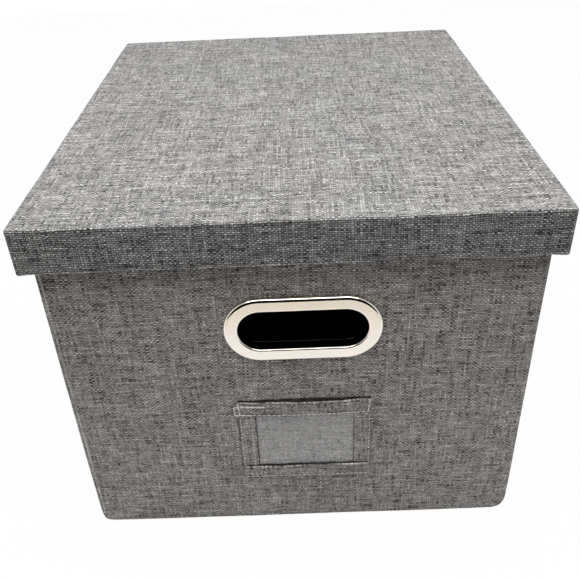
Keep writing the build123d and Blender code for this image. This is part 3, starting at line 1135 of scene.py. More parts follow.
def finish_piece(name: str, mesh: BMesh, material: bpy.types.Material, body: Body, slot: Slot,
                 nodes: Sequence[str] = (), thickness: float = 0.0) -> bpy.types.Object:
    """Turn a mesh into a finished piece that rides on a body.

    Args:
        name: The piece's name.
        mesh: Its mesh, which is used up.
        material: Its finish.
        body: The body that it moves with.
        slot: The record's finish that it takes; not used.
        nodes: The frame's nodes that it stands for.
        thickness: Cloth thickness to add inward, or 0 for a closed piece.

    Returns:
        The new object.
    """
    data = bpy.data.meshes.new(name)
    mesh.to_mesh(data)
    mesh.free()
    if UV_NAME not in data.uv_layers and data.uv_layers:
        data.uv_layers[0].name = UV_NAME
    data.materials.append(material)
    data.shade_smooth()
    piece = bpy.data.objects.new(name, data)
    bpy.context.scene.collection.objects.link(piece)
    if thickness:
        wall = piece.modifiers.new("cloth_thickness", "SOLIDIFY")
        wall.thickness = thickness
        wall.offset = -1.0
    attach(piece, body.value)
    if nodes:
        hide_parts(*nodes)
    LOG.info("%s: %d faces, rides on %s", name, len(data.polygons), body.value)
    return piece


def finish_node(node: str, material: bpy.types.Material) -> None:
    """Lay a finish on one of the frame's own pieces.

    Args:
        node: The frame's name for it.
        material: The finish.
    """
    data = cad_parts[node].data
    data.materials.clear()
    data.materials.append(material)
    LOG.info("%s: the frame's own piece, in %s", node, material.name)


# ---- sub-assemblies ----
@dataclass
class BoxBody:
    """The four cloth-covered walls, their lining, corner seams and folder rails.

    Attributes:
        linen: The cover's finish.
        seam_highlight_linen: The seams' pale finish, a painted highlight along their ridge.
        lining: The lining's finish.
        steel: The rails' finish.
        board: The boards' finish.
        place: The room that the cover takes.
        corner_radius: Radius of the cover's upright corners.
        base_radius: Radius round its foot.
        hem: The fold over the walls' tops.
        side_drop: How much lower the side walls' tops are than the front's and back's.
        hole: Length and height of the holes cut for the grommets.
        panel_step: Largest distance between the points that let the cloth crease.
        base_cuts: Heights in millimetres near the foot where the cloth has more points.
        corner_cuts: Distances in millimetres from the outer faces where it has more too.
        corner_pull: How far the foot's corners are drawn in.
        left_pull: The same for the front left corner and the one across from it.
        corner_pull_height: How high up that reaches.
        corner_pull_reach: How far along the walls it reaches.
        crease: The most that a wall wanders, its lumps per metre and its pattern.
        seam_inset: Distance of the corner seams from the outer faces.
        seam_width: Their width.
        seam_proud: How far they stand off the wall.
        seam_ends: How far they stop above the foot and below the top.
        lining_radii: Radius of the lining's upright corners and round its foot.
        lining_step: Largest distance between the lining's points.
    """

    linen: bpy.types.Material
    seam_highlight_linen: bpy.types.Material
    lining: bpy.types.Material
    steel: bpy.types.Material
    board: bpy.types.Material
    place: Place = field(default_factory=lambda: Place.of("outer_cover", "cover_base"))
    corner_radius: float = 5.0 * MM
    base_radius: float = 4.0 * MM
    hem: HemFold = HemFold(wall=4.6 * MM, rise=-12.0 * MM, radius=1.1 * MM)
    side_drop: float = 8.0 * MM
    hole: Spot = (87.2 * MM, 32.8 * MM)
    panel_step: float = 14 * MM
    base_cuts: Sequence[float] = (5.2, 6.5, 8.0, 10.0, 13.0, 18.0)
    corner_cuts: Sequence[float] = (6.2, 8.0, 10.0, 12.5, 17.0)
    corner_pull: float = 2.6 * MM
    left_pull: float = 1.3 * MM
    corner_pull_height: float = 13.0 * MM
    corner_pull_reach: float = 12.0 * MM
    crease: Triple = (0.35 * MM, 16.0, 3.0)
    seam_inset: float = 4.6 * MM
    seam_width: float = 1.2 * MM
    seam_proud: float = 0.95 * MM
    seam_ends: Spot = (14 * MM, 2 * MM)
    lining_radii: Spot = (6 * MM, 1.5 * MM)
    lining_step: float = 18 * MM

    def build(self) -> None:
        """Build and dress every piece of the box body."""
        self.cover()
        self.corner_seams()
        self.lining_bag()
        for node in ("left_folder_rail", "right_folder_rail"):
            finish_node(node, self.steel)
        for node in ("front_board", "back_board", "left_board", "right_board"):
            finish_node(node, self.board)

    def open_grips(self, mesh: BMesh, place: Place) -> None:
        """Cut the two hand holes.

        Args:
            mesh: The cover or the lining, with its front and back still one face each.
            place: The room that it takes.
        """
        for side in WallSide:
            centre = Place.of(f"{side.name.lower()}_handle_grommet").middle
            open_oval(mesh, side.face(place), centre, *self.hole)

    def around(self, point: Vector, normal: Vector) -> Spot:
        """Where a point of the walls lies along the cloth that is wrapped round them.

        Args:
            point: The point.
            normal: Its face's normal.

        Returns:
            The distance round the box from the middle of the front, and the height.
        """
        if abs(normal.z) > 0.8:
            return point.x, point.y
        half, radius = self.place.size / 2, self.corner_radius
        core = core_point(point, self.place, radius)
        turn = math.atan2(abs(point.x - core.x), core.y - point.y)
        flat_x, flat_y = half.x - radius, half.y - radius
        if normal.y > 0.8:
            return flat_x + math.pi * radius + 2 * flat_y + flat_x - point.x, point.z
        if abs(normal.y) > 0.8 and abs(point.x) < half.x - self.seam_inset:
            return point.x, point.z
        run = flat_x + radius * turn + core.y + flat_y
        return math.copysign(run, point.x), point.z

    def cover(self) -> None:
        """The linen over the walls and the bottom, turned in over the walls' tops."""
        place, step = self.place, self.panel_step
        mesh = cloth_shell(place, OpenEnd.TOP, self.corner_radius, self.base_radius)
        self.open_grips(mesh, place)
        side_top = place.high.z - self.side_drop
        notch_y = place.high.y - self.corner_radius
        seam_x = place.high.x - self.seam_inset
        cut_at(mesh, 2, [side_top])
        cut_at(mesh, 1, [-notch_y, notch_y])
        notch = [face for face in mesh.faces
                 if face.calc_center_median().z > side_top
                 and abs(face.calc_center_median().y) < notch_y - TINY]
        bmesh.ops.delete(mesh, geom=notch, context="FACES")
        mouth = [edge for edge in mesh.edges if edge.is_boundary
                 and all(vert.co.z > side_top - TINY for vert in edge.verts)]
        turn_in_hem(mesh, mouth, place, self.corner_radius, self.hem)
        near_base = [distance * MM for distance in self.base_cuts]
        cut_at(mesh, 2, near_base + steps(self.base_cuts[-1] * MM, place.high.z, step))
        cut_at(mesh, 0, [-seam_x, seam_x] + steps(-seam_x, seam_x, step))
        cut_at(mesh, 1, steps(-notch_y, notch_y, step))
        for axis in range(2):
            near_corner = [place.high[axis] - distance * MM for distance in self.corner_cuts]
            cut_at(mesh, axis, near_corner + [-value for value in near_corner])
        lay_cloth(mesh, self.around)
        self.pull_in_corners(mesh)
        crease_softly(mesh, *self.crease)
        finish_piece("outer_cover_cloth", mesh, self.linen, Body.BOX, Slot.LINEN,
                     ("outer_cover", "cover_base"), LINEN_SKIN)

    def pull_in_corners(self, mesh: BMesh) -> None:
        """Draw the four lower corners in, as taut cloth over cut corners does.

        Args:
            mesh: The cover.
        """
        for vert in mesh.verts:
            share = corner_share(vert.co, self.place, self.corner_pull_reach)
            share *= max(0.0, 1.0 - vert.co.z / self.corner_pull_height) ** 2
            share *= self.corner_pull if vert.co.x * vert.co.y < 0 else self.left_pull
            vert.co.x -= math.copysign(share, vert.co.x)
            vert.co.y -= math.copysign(share, vert.co.y)

    def corner_seams(self) -> None:
        """The turned edge of each wrapped panel, a little inside two opposite corners."""
        seams = {"front_left_seam": WallSide.FRONT, "back_right_seam": WallSide.BACK}
        for name, side in seams.items():
            x = side.value * (self.place.high.x - self.seam_inset)
            wall_y = side.face(self.place)
            outer_y = wall_y + side.value * self.seam_proud
            low = Vector((x - self.seam_width / 2, min(wall_y, outer_y), self.seam_ends[0]))
            high = Vector((x + self.seam_width / 2, max(wall_y, outer_y),
                           self.place.high.z - self.seam_ends[1]))
            mesh = block_mesh(Place(low, high))
            front = [edge for edge in upright_edges(mesh)
                     if abs(edge.verts[0].co.y - outer_y) < TINY]
            round_edges(mesh, front, self.seam_proud * 0.8, 3)
            cut_at(mesh, 2, steps(low.z, high.z, 6 * MM))
            lay_cloth(mesh, lambda point, normal: (point.x * 0.4 + 0.7, point.z))
            crease_softly(mesh, 0.12 * MM, 60.0, 8.0)
            # The seams' pale linen paints the highlight along each ridge.
            finish_piece(name, mesh, self.seam_highlight_linen, Body.BOX, Slot.LINEN)

    def lining_bag(self) -> None:
        """The dark bag inside the walls."""
        place = Place.of("lining_bag")
        mesh = cloth_shell(place, OpenEnd.TOP, *self.lining_radii)
        self.open_grips(mesh, place)
        for axis in range(3):
            cut_at(mesh, axis, steps(place.low[axis], place.high[axis], self.lining_step))
        lay_cloth(mesh, flat_cloth)
        finish_piece("lining_cloth", mesh, self.lining, Body.BOX, Slot.LINING, ("lining_bag",),
                     LINING_SKIN)


@dataclass
class HandGrip:
    """One oval grommet in a wall, and the washer behind it.

    The section is pressed sheet: a flange over the cloth, a collar through the wall and a rolled
    inner end.

    Attributes:
        side: The wall that it is in.
        nickel: The finish of both.
        grip_height: Height of the opening.
        sheet: Thickness of the metal.
        outer_round: Radius of the flange's outer edge.
        lip_round: Radius where the flange turns into the collar.
        roll_reach: How far the rolled end stands out from the collar.
        roll_depth: Its depth.
        roll_round: Radius of its two edges.
        turns: How many straight pieces make a full turn.
    """

    side: WallSide
    nickel: bpy.types.Material
    grip_height: float = 30.0 * MM
    sheet: float = 1.0 * MM
    outer_round: float = 2.3 * MM
    lip_round: float = 1.1 * MM
    roll_reach: float = 1.5 * MM
    roll_depth: float = 1.0 * MM
    roll_round: float = 0.45 * MM
    turns: int = 72

    @property
    def name(self) -> str:
        """The start of the frame's names for this grip."""
        return f"{self.side.name.lower()}_handle"

    def build(self) -> None:
        """Build the grommet and finish the washer."""
        self.grommet()
        finish_node(f"{self.name}_washer", self.nickel)

    def grommet(self) -> None:
        """Spin the pressed section round, draw it out into an oval and round its edges."""
        place = Place.of(f"{self.name}_grommet")
        outer, inner = place.size.z / 2, self.grip_height / 2
        depth = place.size.y
        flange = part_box("front_handle_grommet")[0].y
        proud = abs(flange) - abs(Place.of("outer_cover").low.y)
        # The flange's flat face stops a little short of each round.
        section = [
            (outer, proud), (outer, 0.0), (outer - self.outer_round * 1.2, 0.0),
            (inner + self.lip_round * 1.4, 0.0), (inner, 0.0), (inner, depth),
            (inner + self.sheet + self.roll_reach, depth),
            (inner + self.sheet + self.roll_reach, depth - self.roll_depth),
            (inner + self.sheet, depth - self.roll_depth), (inner + self.sheet, self.sheet),
            (outer - self.sheet, self.sheet), (outer - self.sheet, proud)]
        mesh = bmesh.new()
        start = Matrix.Rotation(math.pi / self.turns, 4, "Y")
        verts = [mesh.verts.new(start @ Vector((radius, back, 0.0))) for radius, back in section]
        edges = [mesh.edges.new(pair) for pair in zip(verts, verts[1:] + verts[:1])]
        bmesh.ops.spin(mesh, geom=verts + edges, cent=(0.0, 0.0, 0.0), axis=(0.0, 1.0, 0.0),
                       dvec=(0.0, 0.0, 0.0), angle=2 * math.pi, steps=self.turns,
                       use_merge=True, use_normal_flip=False, use_duplicate=False)
        bmesh.ops.remove_doubles(mesh, verts=mesh.verts, dist=TINY / 10)
        self.round_loops(mesh, outer, inner)
        stretch_oval(mesh.verts, 0.0, (place.size.x - place.size.z) / 2)
        bmesh.ops.recalc_face_normals(mesh, faces=mesh.faces)
        turn = Matrix.Identity(4)
        if self.side is WallSide.BACK:
            turn = Matrix.Rotation(math.pi, 4, "Z")
        move = Matrix.Translation((place.middle.x, self.side.face(place), place.middle.z))
        bmesh.ops.transform(mesh, matrix=move @ turn, verts=mesh.verts)
        finish_piece(f"{self.name}_ring", mesh, self.nickel, Body.BOX, Slot.NICKEL,
                     (f"{self.name}_grommet",))

    def round_loops(self, mesh: BMesh, outer: float, inner: float) -> None:
        """Round the flange's outer edge, its lip and the rolled end.

        Args:
            mesh: The spun section, still circular.
            outer: The flange's radius.
            inner: The grip's radius.
        """
        def loop(radius: float, back: float) -> list[BMEdge]:
            """The edges that run round the section's axis.

            Args:
                radius: Their distance from it.
                back: Their depth behind the flange's face.

            Returns:
                The edges.
            """
            return [edge for edge in mesh.edges if all(
                abs(math.hypot(vert.co.x, vert.co.z) - radius) < TINY
                and abs(vert.co.y - back) < TINY for vert in edge.verts)]

        depth = max(vert.co.y for vert in mesh.verts)
        roll = inner + self.sheet + self.roll_reach
        round_edges(mesh, loop(outer, 0.0), self.outer_round, 8)
        round_edges(mesh, loop(inner, 0.0), self.lip_round, 6)
        round_edges(mesh, loop(inner, depth) + loop(roll, depth), self.roll_round, 3)


@dataclass
class LabelPocket:
    """The sewn label pocket: four folded strips, a clear window and its stitches.

    Attributes:
        linen: The strips' finish.
        film: The window's finish.
        thread: The stitches' finish.
        shade: The near-black finish of the bars that paint the pocket's shadows.
        wall_y: The face of the wall's cloth.
        top: The room of the top strip.
        bottom: The room of the bottom strip.
        strip_depth: How far the strips stand off the wall.
        strip_round: Radius of their edges.
        mesh_steps: Distance of the points along a strip, and across it.
        film_step: The same for the window.
        mouth_bow: How far the top strip bows out.
        foot_lip: How far the bottom strip's upper edge leans out.
        foot_lip_reach: How far down that reaches.
        end_shift: How far the top strip's two ends lie further left than its frame piece.
        wave: The most that the strips' faces wander.
        side_wave: The same to the sides.
        level_wave: The same up and down.
        pinch: How deep a row of stitches pulls the cloth in.
        pinch_width: How wide that groove is.
        stitch_inset: Distance of the stitches from a strip's edge.
        stitch_proud: How far the thread's middle stands off the strip.
        stitch_length: Length of a stitch.
        stitch_pitch: Distance from one stitch to the next.
        thread_width: Thickness of a stitch.
        bold_width: Thickness of a doubled stitch.
        bold_half: Half the length of a doubled stitch, as a share of the pitch.
        row_wander: The most that a stitch lies beside its row.
    """

    linen: bpy.types.Material
    film: bpy.types.Material
    thread: bpy.types.Material
    shade: bpy.types.Material
    wall_y: float = field(default_factory=lambda: Place.of("outer_cover").low.y)
    top: Place = field(default_factory=lambda: Place.of("label_strip_top"))
    bottom: Place = field(default_factory=lambda: Place.of("label_strip_bottom"))
    strip_depth: float = 1.5 * MM
    strip_round: float = 0.7 * MM
    mesh_steps: Spot = (2.4 * MM, 0.8 * MM)
    film_step: float = 4 * MM
    mouth_bow: float = 2.4 * MM
    foot_lip: float = 1.5 * MM
    foot_lip_reach: float = 7 * MM
    end_shift: float = 1.3 * MM
    wave: float = 0.25 * MM
    side_wave: float = 0.35 * MM
    level_wave: float = 0.45 * MM
    pinch: float = 0.55 * MM
    pinch_width: float = 0.7 * MM
    stitch_inset: float = 1.6 * MM
    stitch_proud: float = 0.25 * MM
    stitch_length: float = 2.6 * MM
    stitch_pitch: float = 3.4 * MM
    thread_width: float = 0.6 * MM
    bold_width: float = 1.15 * MM
    bold_half: float = 0.54
    row_wander: float = 0.3 * MM

    def build(self) -> None:
        """Build and dress every piece of the pocket."""
        self.strips()
        self.window()
        self.painted_shadow_bars()
        self.stitching()

    def lift(self, x: float, z: float) -> float:
        """How far the pocket's front stands off the wall, over its flat depth.

        Args:
            x: Place along the pocket.
            z: Height.

        Returns:
            The stand-off, in metres.
        """
        # The bow is fullest a little right of the middle and grows fast towards the mouth.
        across = (x - self.top.low.x) / self.top.size.x
        swell = math.sin(math.pi * min(max(across * 1.06 - 0.06, 0.0), 1.0)) ** 0.8
        rise = (z - self.bottom.high.z) / (self.top.high.z - self.bottom.high.z)
        return self.mouth_bow * swell * max(rise, 0.0) ** 2.2

    def soften_strip(self, place: Place, lean: float, seed: float) -> BMesh:
        """A folded cloth strip with soft edges that follows the pocket's bow.

        Args:
            place: The strip's room in the frame.
            lean: How far its upper edge leans out.
            seed: A number that sets its unevenness.

        Returns:
            The mesh.
        """
        low = Vector((place.low.x, self.wall_y - self.strip_depth, place.low.z))
        high = Vector((place.high.x, self.wall_y, place.high.z))
        mesh = block_mesh(Place(low, high))
        front = [edge for edge in mesh.edges
                 if all(abs(vert.co.y - low.y) < TINY for vert in edge.verts)]
        round_edges(mesh, front, self.strip_round, 3)
        upright = place.size.z > place.size.x
        step_z, step_x = self.mesh_steps if upright else reversed(self.mesh_steps)
        cut_at(mesh, 0, steps(low.x, high.x, step_x))
        cut_at(mesh, 2, steps(low.z, high.z, step_z))
        # Each strip is cut from another part of the cloth.
        lay_cloth(mesh, lambda point, normal: (point.x + seed * 0.31, point.z + seed * 0.17))
        across, ends = (0, (low.x, high.x)) if upright else (2, (low.z, high.z))
        foot = self.bottom.high.z
        for vert in mesh.verts:
            x, y, z = vert.co
            lip = lean * max(0.0, 1.0 - (foot - z) / self.foot_lip_reach) ** 1.5
            rough = noise.noise(Vector((x * 130, seed * 3.1, z * 130)))
            vert.co.y -= self.lift(x, z) + lip + self.wave * rough
            gap = min(abs(vert.co[across] - end) for end in ends) - self.stitch_inset
            if y < self.wall_y - TINY:
                vert.co.y += self.pinch * math.exp(-(gap / self.pinch_width) ** 2)
            vert.co.x += self.side_wave * noise.noise(Vector((seed * 5.7, z * 90, x * 20)))
            if z > self.top.low.z - TINY:
                share = (x - self.top.low.x) / self.top.size.x
                vert.co.x -= self.end_shift * (share ** 4 + (1.0 - share) ** 4)
            vert.co.z += self.level_wave * noise.noise(Vector((x * 70, z * 30, seed * 9.1)))
        return mesh

    def strips(self) -> None:
        """The four strips; the upper edges of the top and bottom ones stand open."""
        leans = {"left": 0.0, "right": 0.0, "bottom": self.foot_lip, "top": 0.0}
        for seed, (part, lean) in enumerate(leans.items(), start=1):
            node = f"label_strip_{part}"
            mesh = self.soften_strip(Place.of(node), lean, float(seed))
            finish_piece(f"{node}_cloth", mesh, self.linen, Body.BOX, Slot.LINEN, (node,))

    def window(self) -> None:
        """The clear film, tucked under the strips."""
        place = Place.of("label_window")
        mesh = block_mesh(place)
        cut_at(mesh, 0, steps(place.low.x, place.high.x, self.film_step))
        cut_at(mesh, 2, steps(place.low.z, place.high.z, self.film_step))
        for vert in mesh.verts:
            vert.co.y -= self.lift(vert.co.x, vert.co.z)
        lay_cloth(mesh, flat_cloth)
        finish_piece("label_window_film", mesh, self.film, Body.BOX, Slot.WINDOW,
                     ("label_window",))

    def painted_shadow_bars(self) -> None:
        """Dark bars of cloth painted as shadow in the mouth, round the window and at the folds.
        """
        left, right = Place.of("label_strip_left"), Place.of("label_strip_right")
        top, foot, wall = self.top, self.bottom, self.wall_y
        film = Place.of("label_window").low.y
        # Painted shadow: behind the mouth, at the window's foot, left and right, and beside the
        # two side strips.
        bars = (
            (top.low.x + 2 * MM, top.high.x - 2 * MM, top.high.z - 6 * MM, top.high.z + 1.4 * MM,
             wall - 0.4 * MM, wall),
            (left.low.x + 4 * MM, right.high.x - 1 * MM, foot.high.z - 1 * MM,
             foot.high.z + 1.2 * MM, film - 0.5 * MM, film),
            (left.high.x - 0.25 * MM, left.high.x + 0.2 * MM, foot.high.z, top.low.z,
             film - 0.4 * MM, film),
            (right.low.x - 0.2 * MM, right.low.x, foot.high.z, top.low.z,
             film - 0.4 * MM, film),
            (left.low.x - 0.35 * MM, left.low.x + 0.3 * MM, foot.low.z, top.low.z,
             wall - 0.4 * MM, wall),
            (right.high.x - 1.3 * MM, right.high.x - 0.45 * MM, foot.high.z, top.high.z,
             wall - 0.4 * MM, wall))
        mesh = bmesh.new()
        for low_x, high_x, low_z, high_z, low_y, high_y in bars:
            middle = Vector((low_x + high_x, low_y + high_y, low_z + high_z)) / 2
            size = Matrix.Diagonal((high_x - low_x, high_y - low_y, high_z - low_z, 1.0))
            bmesh.ops.create_cube(mesh, size=1.0, matrix=Matrix.Translation(middle) @ size)
        cut_at(mesh, 0, steps(top.low.x, top.high.x, self.mesh_steps[0]))
        cut_at(mesh, 2, steps(foot.low.z, top.high.z, self.mesh_steps[0]))
        lay_cloth(mesh, flat_cloth)
        for vert in mesh.verts:
            x, _, z = vert.co
            if z < top.high.z - 3 * MM:
                vert.co.y -= self.lift(x, z)
            vert.co.x += 0.3 * MM * noise.noise(Vector((2.3, z * 120, x * 30)))
            vert.co.z += 0.9 * MM * noise.noise(Vector((x * 110, z * 20, 6.1)))
        finish_piece("label_shaded_edges", mesh, self.shade, Body.BOX, Slot.LINEN)

    def face_y(self, x: float, z: float) -> float:
        """The strips' face at a place."""
        return self.wall_y - self.strip_depth - self.lift(x, z)

    def stitch(self, mesh: BMesh, start: Spot, end: Spot, width: float) -> None:
        """Sew one stitch.

        Args:
            mesh: The mesh that holds all the stitches.
            start: Its first end (x, z).
            end: Its other end (x, z).
            width: How thick it is.
        """
        first, last = [Vector((x, self.face_y(x, z) - self.stitch_proud, z))
                       for x, z in (start, end)]
        run = last - first
        turn = run.to_track_quat("X", "Z").to_matrix().to_4x4()
        stretch = Matrix.Diagonal((run.length, width, width, 1.0))
        bmesh.ops.create_uvsphere(mesh, u_segments=7, v_segments=5, radius=0.5,
                                  matrix=Matrix.Translation((first + last) / 2) @ turn @ stretch)

    def row(self, mesh: BMesh, start: Spot, end: Spot, bold: bool) -> None:
        """Sew a row of stitches.

        Args:
            mesh: The mesh that holds all the stitches.
            start: The row's first end (x, z).
            end: Its other end (x, z).
            bold: Whether they are doubled, thick stitches.
        """
        first, last = Vector(start), Vector(end)
        along = (last - first).normalized()
        aside = Vector((-along.y, along.x))
        count = max(1, int((last - first).length / self.stitch_pitch))
        pitch = (last - first).length / count
        half = along * (pitch * self.bold_half if bold else self.stitch_length / 2)
        width = self.bold_width if bold else self.thread_width
        for index in range(count):
            beside = noise.noise(Vector((first.x * 90 + index, first.y * 90, 1.7)))
            middle = first + along * (pitch * (index + 0.5)) + aside * (self.row_wander * beside)
            self.stitch(mesh, tuple(middle - half), tuple(middle + half), width)

    def stitching(self) -> None:
        """Every visible row of thread, with the doubled stitches at the top strip's ends."""
        foot, low, high = self.bottom, self.top.low.z, self.top.high.z
        near, far = self.top.low.x - self.end_shift, self.top.high.x
        left, right = foot.low.x + self.stitch_inset, foot.high.x - self.stitch_inset
        base = foot.low.z + self.stitch_inset
        view_left = Place.of("label_strip_left").high.x - 3.0 * MM
        rows = (
            (True, (near + 1 * MM, high - 3.4 * MM), (near + 22 * MM, high - 3.2 * MM)),
            (True, (near + 0.2 * MM, low + 1.2 * MM), (near + 12.5 * MM, low + 0.8 * MM)),
            (False, (near + 12.5 * MM, low + 1.2 * MM), (far - 2 * MM, low + 1.2 * MM)),
            (False, (left, base), (right, base)),
            (False, (view_left - 6 * MM, foot.low.z + 5 * MM),
             (view_left + 9 * MM, foot.low.z + 5 * MM)),
            *((False, (x, foot.high.z), (x, low - 1 * MM)) for x in (left, view_left, right)),
            (True, (near + 0.6 * MM, low + 1.6 * MM), (near + 0.4 * MM, high - 3 * MM)),
            (True, (near + 4.0 * MM, low + 0.4 * MM), (near + 3.4 * MM, high + 0.8 * MM)),
            (True, (far - 4.2 * MM, low + 0.5 * MM), (far - 2.2 * MM, high + 0.8 * MM)))
        mesh = bmesh.new()
        for bold, start, end in rows:
            self.row(mesh, start, end, bold)
        finish_piece("label_thread", mesh, self.thread, Body.BOX, Slot.THREAD,
                     ("label_stitching",))


@dataclass
class Lid:
    """The lift-off lid: one sheet of linen over boards, and its dark lining.

    Attributes:
        linen: The cover's finish.
        lining: The lining's finish.
        board: The boards' finish.
        place: The room that the cover takes.
        corner_radius: Radius of its upright corners.
        edge_radius: Radius of the edge round its top.
        hem: The fold round the rim's foot.
        panel_step: Largest distance between the points that let the cloth crease.
        rim_step: The same down the rim.
        corner_cuts: Distances in millimetres from the rim's faces where it has more points.
        corner_lump: How much lower the rim's folded corners hang.
        corner_lump_reach: How far along the rim that reaches.
        corner_lump_height: How far up the rim it reaches.
        crease: The most that the cloth wanders, its lumps per metre and its pattern.
        lining_radii: Radius of the lining's upright corners and round its top.
        lining_step: Largest distance between the lining's points.
    """

    linen: bpy.types.Material
    lining: bpy.types.Material
    board: bpy.types.Material
    place: Place = field(default_factory=lambda: Place.of("lid_cover"))
    corner_radius: float = 3.0 * MM
    edge_radius: float = 2.0 * MM
    hem: HemFold = HemFold(wall=3.6 * MM, rise=14.0 * MM, radius=1.0 * MM)
    panel_step: float = 14 * MM
    rim_step: float = 5 * MM
    corner_cuts: Sequence[float] = (4.2, 8.0, 12.0, 17.0)
    corner_lump: float = 0.9 * MM
    corner_lump_reach: float = 15.0 * MM
    corner_lump_height: float = 4 * MM
    crease: Triple = (0.3 * MM, 18.0, 5.0)
    lining_radii: Spot = (1.5 * MM, 1.0 * MM)
    lining_step: float = 20 * MM

    def build(self) -> None:
        """Build and dress every piece of the lid."""
        self.cover()
        self.lining_sheet()
        for part in ("top", "front", "back", "left", "right"):
            finish_node(f"lid_{part}_board", self.board)

    def cover(self) -> None:
        """The linen over the top, down the rim and turned up inside it."""
        place = self.place
        mesh = cloth_shell(place, OpenEnd.BOTTOM, self.corner_radius, self.edge_radius)
        mouth = [edge for edge in mesh.edges if edge.is_boundary]
        turn_in_hem(mesh, mouth, place, self.corner_radius, self.hem)
        for axis in range(2):
            near_corner = [place.high[axis] - distance * MM for distance in self.corner_cuts]
            cut_at(mesh, axis, near_corner + [-value for value in near_corner])
            cut_at(mesh, axis, steps(-near_corner[-1], near_corner[-1], self.panel_step))
        cut_at(mesh, 2, steps(place.low.z, place.high.z, self.rim_step))
        lay_cloth(mesh, folded_over(place, self.edge_radius))
        self.thicken_corners(mesh)
        crease_softly(mesh, *self.crease)
        finish_piece("lid_cover_cloth", mesh, self.linen, Body.LID, Slot.LID_LINEN,
                     ("lid_cover",), LINEN_SKIN)

    def thicken_corners(self, mesh: BMesh) -> None:
        """Let the folded layers at the rim's corners hang a little lower.

        Args:
            mesh: The cover.
        """
        for vert in mesh.verts:
            share = corner_share(vert.co, self.place, self.corner_lump_reach)
            share *= smooth_fall(vert.co.z - self.place.low.z, self.corner_lump_height)
            vert.co.z -= self.corner_lump * share

    def lining_sheet(self) -> None:
        """The dark sheet under the top, turned down inside the rim."""
        place = Place.of("lid_lining")
        mesh = cloth_shell(place, OpenEnd.BOTTOM, *self.lining_radii, segments=3)
        for axis in range(2):
            cut_at(mesh, axis, steps(place.low[axis], place.high[axis], self.lining_step))
        lay_cloth(mesh, flat_cloth)
        finish_piece("lid_lining_cloth", mesh, self.lining, Body.LID, Slot.LINING,
                     ("lid_lining",), LINING_SKIN)


@dataclass
class BaseInsert:
    """The loose stiff base with its dark cover and ribbon.

    Attributes:
        lining: The cover's finish.
        ribbon: The pull tab's finish.
        board: The board's finish.
        corner_radius: Radius of the cover's upright corners.
        edge_radius: Radius of its edges.
        panel_step: Largest distance between the points that let the cloth crease.
        crease: The most that the cloth wanders, its lumps per metre and its pattern.
        ribbon_cloth: Thickness of the ribbon.
        ribbon_wave: The most that the ribbon's halves wander up and down.
    """

    lining: bpy.types.Material
    ribbon: bpy.types.Material
    board: bpy.types.Material
    corner_radius: float = 10.0 * MM
    edge_radius: float = 1.3 * MM
    panel_step: float = 15 * MM
    crease: Triple = (0.15 * MM, 30.0, 11.0)
    ribbon_cloth: float = 0.5 * MM
    ribbon_wave: float = 0.1 * MM

    def build(self) -> None:
        """Build and dress the insert's pieces."""
        self.cover()
        self.pull_tab()
        finish_node("insert_board", self.board)

    def cover(self) -> None:
        """The cloth glued round the base board."""
        place = Place.of("insert_cover")
        mesh = block_mesh(place)
        round_edges(mesh, upright_edges(mesh), self.corner_radius, 8)
        rims = edges_at(mesh, place.low.z) + edges_at(mesh, place.high.z)
        round_edges(mesh, rims, self.edge_radius, 4)
        for axis in range(2):
            cut_at(mesh, axis, steps(place.low[axis], place.high[axis], self.panel_step))
        lay_cloth(mesh, flat_cloth)
        crease_softly(mesh, *self.crease)
        finish_piece("insert_cover_cloth", mesh, self.lining, Body.INSERT, Slot.LINING,
                     ("insert_cover",))

    def pull_tab(self) -> None:
        """The ribbon, folded double with its fold towards the middle of the box."""
        place = Place.of("insert_pull_tab")
        half_gap = (place.size.z - self.ribbon_cloth) / 2
        bend = math.pi * half_gap
        straight = place.size.y - half_gap - self.ribbon_cloth / 2
        mesh = bmesh.new()
        bmesh.ops.create_grid(mesh, x_segments=10, y_segments=90, size=0.5)
        for vert in mesh.verts:
            vert.co.x *= place.size.x
            vert.co.y = (vert.co.y + 0.5) * (2 * straight + bend)
        lay_cloth(mesh, lambda point, normal: (point.x, point.y))
        for vert in mesh.verts:
            run = vert.co.y
            turn = min(max((run - straight) / half_gap, 0.0), math.pi)
            beyond = max(run - straight - bend, 0.0)
            flat = min(run, straight) - beyond
            vert.co.y = place.low.y + flat + half_gap * math.sin(turn)
            vert.co.z = place.middle.z - half_gap * math.cos(turn)
            vert.co.z += self.ribbon_wave * math.sin(flat / place.size.y * 9.0)
        finish_piece("insert_ribbon", mesh, self.ribbon, Body.INSERT, Slot.RIBBON,
                     ("insert_pull_tab",), self.ribbon_cloth)


